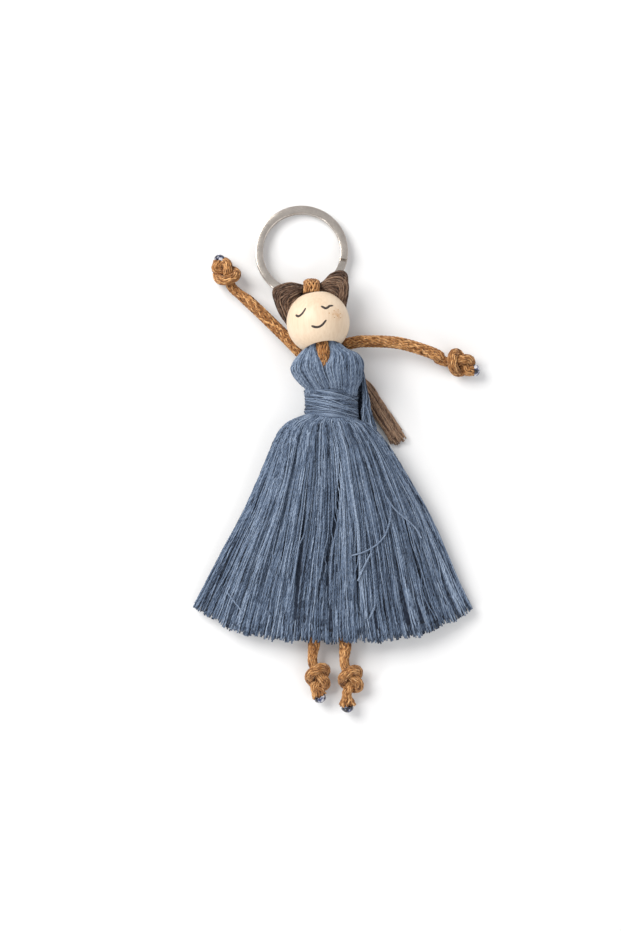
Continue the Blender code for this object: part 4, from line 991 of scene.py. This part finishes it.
def waist_places(turn, level, inset, swell=0.0):
    """Places on the waist's oval at a turn round it and a level from 0 at its top to 1.

    Half width and half depth, less the inset, times 1 - 0.05 sin(pi level) + swell. The lower edge
    slants across, so each level lies at its share of the way down to it.
    """
    draw = 1 - 0.05 * np.sin(math.pi * level) + swell
    x = (WAIST_WIDTH / 2 - inset) * np.cos(turn) * draw
    z = (WAIST_DEPTH / 2 - inset) * np.sin(turn) * draw
    bottom = np.interp(x, (-WAIST_WIDTH / 2, WAIST_WIDTH / 2), WAIST_BOTTOM)
    y = WAIST_TOP + (bottom - WAIST_TOP) * level
    return np.stack([x + WAIST_PLACE[0], y, z + WAIST_PLACE[2]], axis=-1) + ORIGIN


def painted_waist_highlight(places):
    """A painted highlight left of the waist's middle, which makes the yarn paler there: a bell across, 3.2
    mm wide.
    """
    off = places[..., 0] - ORIGIN[0] - WAIST_PLACE[0] + 0.0012
    return 0.26 * np.exp(-(off / 0.0032) ** 2)


def waist_crossing(seeds):
    """The last turns, which cross the others at a slant: the level is a sine once round."""
    count = 26
    turn = np.linspace(0, 2 * math.pi, 97)[None, :-1].repeat(count, axis=0)
    middle = seeds.uniform(0.20, 0.80, (count, 1))
    swing = seeds.normal(0.10, 0.15, (count, 1))
    level = np.clip(middle + swing * np.cos(turn + seeds.uniform(-0.5, 0.5, (count, 1))), 0.03, 0.97)
    routes = waist_places(turn, level, THREAD * 0.05, 0.004 * np.arange(count)[:, None] / count)
    # The painted highlight left of the waist's middle is added to each crossing thread's shade.
    shade = np.clip(seeds.normal(0.46, 0.20, (count, 1)) + painted_waist_highlight(routes), 0.03, 0.98)
    return closed_loops("waist_crossing", routes, WAIST_THREAD * 0.44, shade)


def closed_loops(name, routes, radius, shade):
    """Closed loops of thread: each route's last point joins its first."""
    routes = np.concatenate([routes[:, -1:], routes, routes[:, :1]], axis=1)
    rings = rings_round(routes, radius, AHEAD)
    shade = np.concatenate([shade, shade[:, :1]], axis=1)
    return tube_mesh(name, np.concatenate([rings[:, 1:-1], rings[:, 1:2]], axis=1), shade)


def make_waist():
    """One long thread wound to and fro in four layers, the slanting turns over it, and a core drawn
    nearly black, painted shade under the turns.
    """
    seeds = np.random.default_rng(31)
    turns, per_turn, layers = 104, 72, 4
    count = turns * per_turn
    turn = 2 * math.pi * np.arange(count) / per_turn
    along = np.arange(count) / count
    tilt = 0.22 * waves(seeds, along[None], 23.0)[0] + 0.60 * waves(seeds, along[None], 71.0)[0]
    layer = along * layers
    inset = np.interp(layer, (0, 0.9, 1.1, 1.9, 2.1, 2.9, 3.1, 4), (1.5, 1.5, 1.0, 1.0, 0.5, 0.5, 0.0, 0.0))
    to_and_fro = np.abs((layer + 1) % 2 - 1)
    level = np.clip(to_and_fro + 0.05 * np.sin(turn) * tilt * 2, 0.0, 1.0)
    swell = 0.012 * waves(seeds, along[None], 40.0)[0]
    route = waist_places(turn, level, THREAD / 2 + inset * THREAD * 0.8, swell)
    shade = np.interp(np.arange(count), np.linspace(0, count, 400), seeds.normal(0.38, 0.20, 400))
    # The painted highlight left of the waist's middle is added to the winding's shade.
    shade = (shade + painted_waist_highlight(route)).clip(0.03, 0.98)
    rings = rings_round(route[None], WAIST_THREAD / 2, AHEAD)
    add_blue(tube_mesh("waist_winding", rings, shade[None]), "waist_wrap")
    add_blue(waist_crossing(seeds), "waist_wrap")
    level = np.linspace(0, 1, 12)[:, None]
    rings = waist_places(2 * math.pi * np.arange(40) / 40, level, 0.0012)
    rings[..., 1] -= 0.0004 * (1 - level)
    # The core's shade of 0.02 is painted shade under the winding.
    add_blue(tube_mesh("waist_core", rings[None], 0.02), "waist_gather", BLUE_DEPTHS)


# Skirt

def skirt_places(u, p):
    """A place on the skirt's plan and its heights, for u across and p from waist to hem.

    With s = |2u - 1|, the level drops by sag (1 - s to the 3.2), and the heights fall from the
    crown to the edge by s to the 4.
    """
    left, right = curve_through(SKIRT_LEFT, 120), curve_through(SKIRT_RIGHT, 120)
    given = np.linspace(0, 1, 120)
    lx, ly = (np.interp(p, given, left[:, k]) for k in (0, 1))
    rx, ry = (np.interp(p, given, right[:, k]) for k in (0, 1))
    top_level = (left[0, 1] + right[0, 1]) / 2
    low_level = (left[-1, 1] + right[-1, 1]) / 2
    v = np.clip((top_level - (ly + ry) / 2) / (top_level - low_level), 0, 1)
    s = np.clip(np.abs(2 * u - 1), 0, 1)
    sag = SKIRT_WAIST_SAG + (SKIRT_HEM_SAG - SKIRT_WAIST_SAG) * v ** 1.5
    x = lx * (1 - u) + rx * u
    y = ly * (1 - u) + ry * u - sag * (1 - s ** 3.2)
    fall = s ** 4
    crown = SKIRT_WAIST_TOP + (SKIRT_HEM_TOP - SKIRT_WAIST_TOP) * v ** 0.8
    edge = SKIRT_WAIST_EDGE + (SKIRT_HEM_EDGE - SKIRT_WAIST_EDGE) * v ** 0.6
    top = crown + (edge - crown) * fall
    back = SKIRT_WAIST_BACK * (1 - ease(v / 0.38)) * (1 - fall)
    back = back + SKIRT_WAIST_EDGE_BACK * (1 - ease(v / 0.55)) * fall
    room = SKIRT_LEG_ROOM / 2
    half = CLEARANCE / 2 + (room - CLEARANCE / 2) * ease((0.8 - s) / 0.25)
    return x, y, top, (top + back) / 2 + half, (top + back) / 2 - half, back


# Furrows between the skirt's clumps: place across, where it starts and is widest along, half width
# and how far it wanders sideways towards the hem
FURROWS = (
    (0.060, 0.45, 0.85, 0.0028, 0.004), (0.105, 0.60, 0.95, 0.0032, -0.004),
    (0.140, 0.40, 0.75, 0.0028, 0.006), (0.173, 0.82, 0.99, 0.0034, 0.002),
    (0.215, 0.35, 0.62, 0.0026, -0.006), (0.262, 0.60, 0.92, 0.0036, 0.012),
    (0.292, 0.30, 0.55, 0.0024, 0.004), (0.318, 0.42, 0.72, 0.0074, 0.040),
    (0.392, 0.66, 0.98, 0.0034, -0.005), (0.400, 0.25, 0.50, 0.0024, 0.004),
    (0.448, 0.52, 0.76, 0.0050, 0.045), (0.500, 0.30, 0.55, 0.0026, -0.004),
    (0.560, 0.28, 0.60, 0.0078, -0.140), (0.600, 0.50, 0.78, 0.0034, 0.006),
    (0.613, 0.84, 0.99, 0.0036, 0.004), (0.655, 0.30, 0.60, 0.0028, 0.008),
    (0.690, 0.55, 0.85, 0.0036, 0.012), (0.742, 0.30, 0.56, 0.0042, 0.010),
    (0.785, 0.60, 0.92, 0.0032, -0.006), (0.829, 0.80, 0.95, 0.0046, 0.004),
    (0.866, 0.40, 0.70, 0.0034, 0.006), (0.905, 0.50, 0.85, 0.0036, 0.004),
    (0.945, 0.60, 0.95, 0.0030, 0.002),
)


def clumped(u, p):
    """Shares across pushed away from each furrow, and how deep each place lies in one.

    A furrow's strength rises from nothing at its start to its widest place, and then falls to a
    quarter. At the distance d from its line, places move off by half width * strength *
    tanh(d / 0.0025) * exp(-(d / 0.016) squared), and the depth there is strength * half width /
    0.007 * exp(-(d / 0.0075) squared).
    """
    moved, depth = np.zeros_like(u), np.zeros_like(u)
    for place, first, widest, half, aside in FURROWS:
        line = place + aside * ease((p - first) / (1.0 - first)) + 0.0015 * np.sin(9 * p + 40 * place)
        strength = ease((p - first) / (widest - first)) * (1 - 0.75 * ease((p - widest) / 0.30))
        off = u - line
        moved += half * strength * np.tanh(off / 0.0025) * np.exp(-(off / 0.016) ** 2)
        depth = np.maximum(depth, strength * half / 0.007 * np.exp(-(off / 0.0075) ** 2))
    return u + moved, depth


def swayed(u, p):
    """How whole clumps lean sideways together towards the hem, as sums of sines."""
    lean = np.sin(19 * u + 1.2) + 0.8 * np.sin(37 * u + 2.9) + 0.7 * np.sin(71 * u + 0.4)
    return u + 0.0042 * lean * ease((p - 0.25) / 0.7) * np.clip(8 * np.minimum(u, 1 - u), 0, 1)


def folds(u, p):
    """The height of the broad folds: three sines across that grow towards the hem."""
    broad = np.cos(2 * math.pi * 6.4 * u + 2.0 * p) + 0.7 * np.cos(2 * math.pi * 11.3 * u - 1.7 * p + 1.0)
    return 0.00034 * (broad + 0.6 * np.cos(2 * math.pi * 19 * u + 3.0 * p + 2.0)) * ease(p / 0.3)


def skirt_threads(count, steps, first, last, front, ranks, seeds, wander):
    """Routes of skirt threads from the waist to the hem at a rank from the outside inwards."""
    u = (np.arange(count) + seeds.uniform(-0.4, 0.4, count)) / count
    u = np.clip(u, 0.004, 0.996)[:, None]
    start = seeds.uniform(*first, count)[:, None]
    end = seeds.uniform(*last, count)[:, None]
    end = end - 0.006 * (1 + np.sin(61 * u) * np.cos(23 * u + 1.0))
    p = start + (end - start) * np.linspace(0, 1, steps)[None]
    drift = wander * waves(seeds, p, 0.8) * ease(p / 0.35)
    cross = seeds.normal(0.0, 0.004, count)[:, None] * ease((p - 0.3) / 0.7)
    drawn, depth = clumped(swayed(np.clip(u + drift + cross, 0.003, 0.997), p), p)
    drawn = np.clip(drawn, 0.002, 0.998)
    x, y, top, inner_front, inner_back, back = skirt_places(drawn, p)
    s = np.abs(2 * drawn - 1)
    ridge = folds(drawn, p) * (1 - s ** 6)
    rank = seeds.uniform(*ranks, count)[:, None]
    radius = THREAD / 2
    if front:
        thick = np.maximum(top - inner_front - 2 * radius, 0.0001)
        z = top + ridge - radius - rank * thick - 0.0013 * depth
        z = np.maximum(z, inner_front + radius)
    else:
        z = back + radius + rank * np.maximum(inner_back - back - 2 * radius, 0.0001)
        z = np.maximum(z, radius)
    z = z + 0.00024 * waves(seeds, p, 6.0) * ease(p / 0.15)
    x = x + 0.00016 * waves(seeds, p, 7.0) * ease(p / 0.15)
    return np.stack([x, y, np.maximum(z, radius * 1.02)], axis=-1)


def tucked(routes):
    """Each thread's top end run up inside the waist winding."""
    middle = np.array((WAIST_PLACE[0], 0.0, WAIST_PLACE[2]))
    first = routes[:, :1]
    low = (first - middle) * (0.86, 1, 0.80) + middle
    high = (first - middle) * (0.80, 1, 0.66) + middle
    low[..., 1], high[..., 1] = TUCK_LEVELS
    return np.concatenate([high, low, routes], axis=1)


def thread_radius(routes):
    """Threads pressed together at the waist are drawn thinner there."""
    share = np.linspace(0, 1, routes.shape[1])[None]
    return THREAD / 2 * (0.74 + 0.30 * ease(share / 0.5))


def bands(places):
    """Broad paler and darker bands across the skirt, painted sheen and painted shade: two sines of the
    angle round its apex.
    """
    angle = np.arctan2(places[..., 0], 0.045 - places[..., 1])
    return 0.05 * np.sin(17 * angle + 0.3) + 0.03 * angle + 0.04 * np.sin(41 * angle + 60 * places[..., 1])


def add_threads(name, routes, seeds, node, dark=0.0, sides=5, radius=None, spread=0.15):
    """Skirt threads of the dress, each with a shade of its own and the skirt's broad bands of painted sheen
    and painted shade. The value dark makes a whole layer darker, painted shade on the deeper layers; below
    zero it makes a layer paler.
    """
    routes = routes + ORIGIN
    # Each thread's shade: its own, less dark (painted shade on deeper layers), plus the painted sheen and
    # shade of the bands.
    shade = np.clip(seeds.normal(0.50 - dark, spread, (len(routes), 1)) + bands(routes), 0.03, 0.97)
    radius = thread_radius(routes) if radius is None else radius
    add_blue(tube_mesh(name, rings_round(routes, radius, UP, sides), shade), node)


def make_skirt():
    """Layers of threads over linings: the ones on top first, then those between and behind."""
    seeds = np.random.default_rng(57)
    # The deeper layers are drawn darker: painted shade between and under the threads on top.
    over = skirt_threads(240, 60, (0.0, 0.0), (0.975, 1.0), True, (0.0, 0.06), seeds, 0.006)
    add_threads("skirt_front_threads", tucked(over), seeds, "skirt_front", 0.00, spread=0.19)
    under = skirt_threads(420, 44, (0.0, 0.0), (0.965, 0.998), True, (0.08, 0.35), seeds, 0.008)
    add_threads("skirt_front_under", tucked(under), seeds, "skirt_front", 0.28, spread=0.18)
    filler = skirt_threads(420, 30, (0.25, 0.6), (0.965, 1.0), True, (0.05, 0.5), seeds, 0.006)
    add_threads("skirt_hem_threads", filler, seeds, "skirt_front", 0.15, radius=THREAD / 2, spread=0.24)
    back = skirt_threads(380, 30, (0.0, 0.0), (0.97, 1.0), False, (0.0, 0.5), seeds, 0.012)
    add_threads("skirt_back_threads", tucked(back), seeds, "skirt_back", 0.05)
    back = skirt_threads(240, 20, (0.1, 0.4), (0.96, 0.995), False, (0.2, 0.95), seeds, 0.012)
    add_threads("skirt_back_under", back, seeds, "skirt_back", 0.1)
    crossing = crossing_threads(seeds)
    add_threads("skirt_crossing_threads", crossing, seeds, "skirt_front", -0.06, radius=THREAD * 0.42)
    # The linings are drawn nearly black: painted shade between the threads.
    for name, front in (("skirt_front", True), ("skirt_back", False)):
        add_blue(skirt_lining(name + "_lining", front), name, BLUE_DEPTHS)


def crossing_threads(seeds):
    """Loose threads that lie on top of the skirt and cross the others at a slant."""
    count, steps = 96, 60
    start = seeds.uniform(0.02, 0.55, count)[:, None]
    far = seeds.uniform(0.93, 0.998, count)[:, None] - start
    end = start + far * seeds.uniform(0.55, 1.0, count)[:, None]
    p = start + (end - start) * np.linspace(0, 1, steps)[None]
    u = np.clip(seeds.beta(1.6, 1.2, count), 0.04, 0.96)[:, None]
    slant = seeds.normal(0.0, 0.030, count)[:, None]
    u = u + slant * ease((p - start) / (1 - start)) + 0.010 * waves(seeds, p, 1.6)
    u, depth = clumped(swayed(np.clip(u, 0.02, 0.98), p), p)
    x, y, top, *_ = skirt_places(u, p)
    s = np.abs(2 * u - 1)
    ends = np.sin(math.pi * np.linspace(0, 1, steps)) ** 0.4
    z = top + folds(u, p) * (1 - s ** 6) - 0.0005 * depth + 0.00012 * ends + 0.00016 * waves(seeds, p, 2.0)
    return np.stack([x, y, np.maximum(z, THREAD * 0.52)], axis=-1)


def skirt_lining(name, front):
    """A thin body deep in a layer, so that no light comes through between threads, drawn nearly black:
    painted shade in the gaps.
    """
    u, p = np.meshgrid(np.linspace(0.012, 0.988, 61), np.linspace(0.0, 0.955, 41))
    x, y, top, inner_front, inner_back, back = skirt_places(u, p)
    if front:
        outer, inner = inner_front + 0.45 * np.maximum(top - inner_front, 0), inner_front + 0.0001
    else:
        outer, inner = inner_back - 0.0001, back + 0.45 * np.maximum(inner_back - back, 0) + 0.0001
    far = np.stack([x, y, np.maximum(outer, inner + 0.00015)], axis=-1)
    near = np.stack([x, y, inner], axis=-1)
    # The lining's shade of 0.03 is painted shade.
    return tube_mesh(name, (np.concatenate([far, near[:, ::-1]], axis=1) + ORIGIN)[None], 0.03)


# Threads that have come loose from the skirt, as places across and along, and their height over it
STRAYS = (
    mm((9.9, 5.9), (13.2, -3.8), (15.8, -11.6), (17.4, -15.5), (16.8, -21.2), (14.5, -25.8), (9.9, -29.1),
       (5, -30.7)),
    mm((11.2, -29.8), (8.6, -35), (7, -38.8)),
    mm((9.3, -18.1), (10.9, -26.5), (11.9, -36.8), (12.5, -45.9), (10.6, -51.1)),
    mm((-34.7, -42.7), (-29.6, -49.2)),
    mm((15.8, -11.6), (19, -16.1), (24.8, -21.2), (27.4, -25.2)),
)


def height_over_skirt(places):
    """The skirt's front height under places on its plan, from the nearest of a grid of places."""
    u, p = np.meshgrid(np.linspace(0.0, 1.0, 160), np.linspace(0.0, 1.0, 160))
    x, y, top, *_ = skirt_places(u, p)
    off = (x.ravel()[None] - places[:, :1]) ** 2 + (y.ravel()[None] - places[:, 1:2]) ** 2
    return top.ravel()[off.argmin(axis=1)]


def make_strays():
    """The loose threads, which follow the skirt's height as a running mean of nine places."""
    seeds = np.random.default_rng(71)
    found = []
    for places in STRAYS:
        route = curve_through(places, 48)
        z = height_over_skirt(route) + 0.0008
        z = np.convolve(np.pad(z, 4, mode="edge"), np.ones(9) / 9, mode="valid")
        found.append(np.concatenate([route, z[:, None]], axis=1))
    add_threads("loose_threads", np.stack(found), seeds, "skirt_front", -0.15, 7, THREAD / 2 * 1.1)


# Stage

FLOOR_HALF = 1.5
CAMERA_PLACE = (-0.008348, -0.002150, 0.650)
LENS = 77.6
# Round lamps, all turned to the frame's middle: name, place, size, power and colour
LAMPS = (
    ("window", (-0.50, 0.42, 0.62), 0.60, 7.4, (1.0, 0.99, 0.97)),
    ("glint", (-0.52, -0.40, 0.42), 0.16, 1.10, (1.0, 1.0, 1.0)),
    ("fill", (0.65, -0.30, 0.70), 0.90, 2.0, (0.98, 0.99, 1.0)),
)


def make_floor():
    """The flat white table top, which belongs to the stage."""
    mesh = bpy.data.meshes.new("table_top")
    corners = [(x * FLOOR_HALF, y * FLOOR_HALF, 0) for x, y in ((-1, -1), (1, -1), (1, 1), (-1, 1))]
    mesh.from_pydata(corners, [], [(0, 1, 2, 3)])
    floor = bpy.data.objects.new("table_top", mesh)
    bpy.context.scene.collection.objects.link(floor)
    mesh.materials.append(FLOOR)


def make_light(name, place, size, power, colour):
    """A round soft lamp that shines at the frame's middle."""
    data = bpy.data.lights.new(name, "AREA")
    data.shape = "DISK"
    data.size = size
    data.energy = power
    data.color = colour
    lamp = bpy.data.objects.new(name, data)
    lamp.location = place
    lamp.rotation_euler = (-Vector(place)).to_track_quat("-Z", "Y").to_euler()
    bpy.context.scene.collection.objects.link(lamp)


def make_stage():
    """Floor, lamps, an even grey room and a camera straight above."""
    make_floor()
    for lamp in LAMPS:
        make_light(*lamp)
    scene = bpy.context.scene
    world = bpy.data.worlds.new("soft_room")
    world.use_nodes = True
    background = world.node_tree.nodes["Background"]
    background.inputs["Color"].default_value = (0.60, 0.60, 0.61, 1.0)
    background.inputs["Strength"].default_value = 1.0
    scene.world = world
    scene.view_settings.view_transform = "Standard"
    data = bpy.data.cameras.new("camera")
    data.sensor_width = 36.0
    data.lens = LENS
    camera = bpy.data.objects.new("camera", data)
    camera.location = CAMERA_PLACE
    scene.collection.objects.link(camera)
    scene.camera = camera


make_ring()
make_head()
make_loop()
make_neck()
make_limb("arm_left", ARM_LEFT_ROUTE, HAND_LEFT, ARM_DIAMETER, "left_arm", 11, 1.15)
make_limb("arm_right", ARM_RIGHT_ROUTE, HAND_RIGHT, ARM_DIAMETER, "right_arm", 12)
make_limb("leg_left", LEG_LEFT_ROUTE, FOOT_LEFT, LEG_DIAMETER, "left_leg", 13)
make_limb("leg_right", LEG_RIGHT_ROUTE, FOOT_RIGHT, LEG_DIAMETER, "right_leg", 14)
make_lock("hair_left", HAIR_LEFT, 21)
make_lock("hair_right", HAIR_RIGHT, 22)
make_tie()
make_bundle("ponytail", PONYTAIL, "tail", BROWN_YARN, 80, 0.07, 23, 0.84)
make_bundle("side_strands", SIDE_STRANDS, "dress", BLUE_YARN, 26, 0.05, 83)
# The low bundle's tone of 0.06 is painted shadow beside the waist.
make_bundle("side_strands_low", SIDE_STRANDS_LOW, "dress", BLUE_YARN, 28, 0.05, 84, 0.06,
            "side_strands")
make_bodice("bodice_left", BODICE_LEFT, 1, 41)
make_bodice("bodice_right", BODICE_RIGHT, -1, 42)
make_waist()
make_skirt()
make_strays()
make_stage()
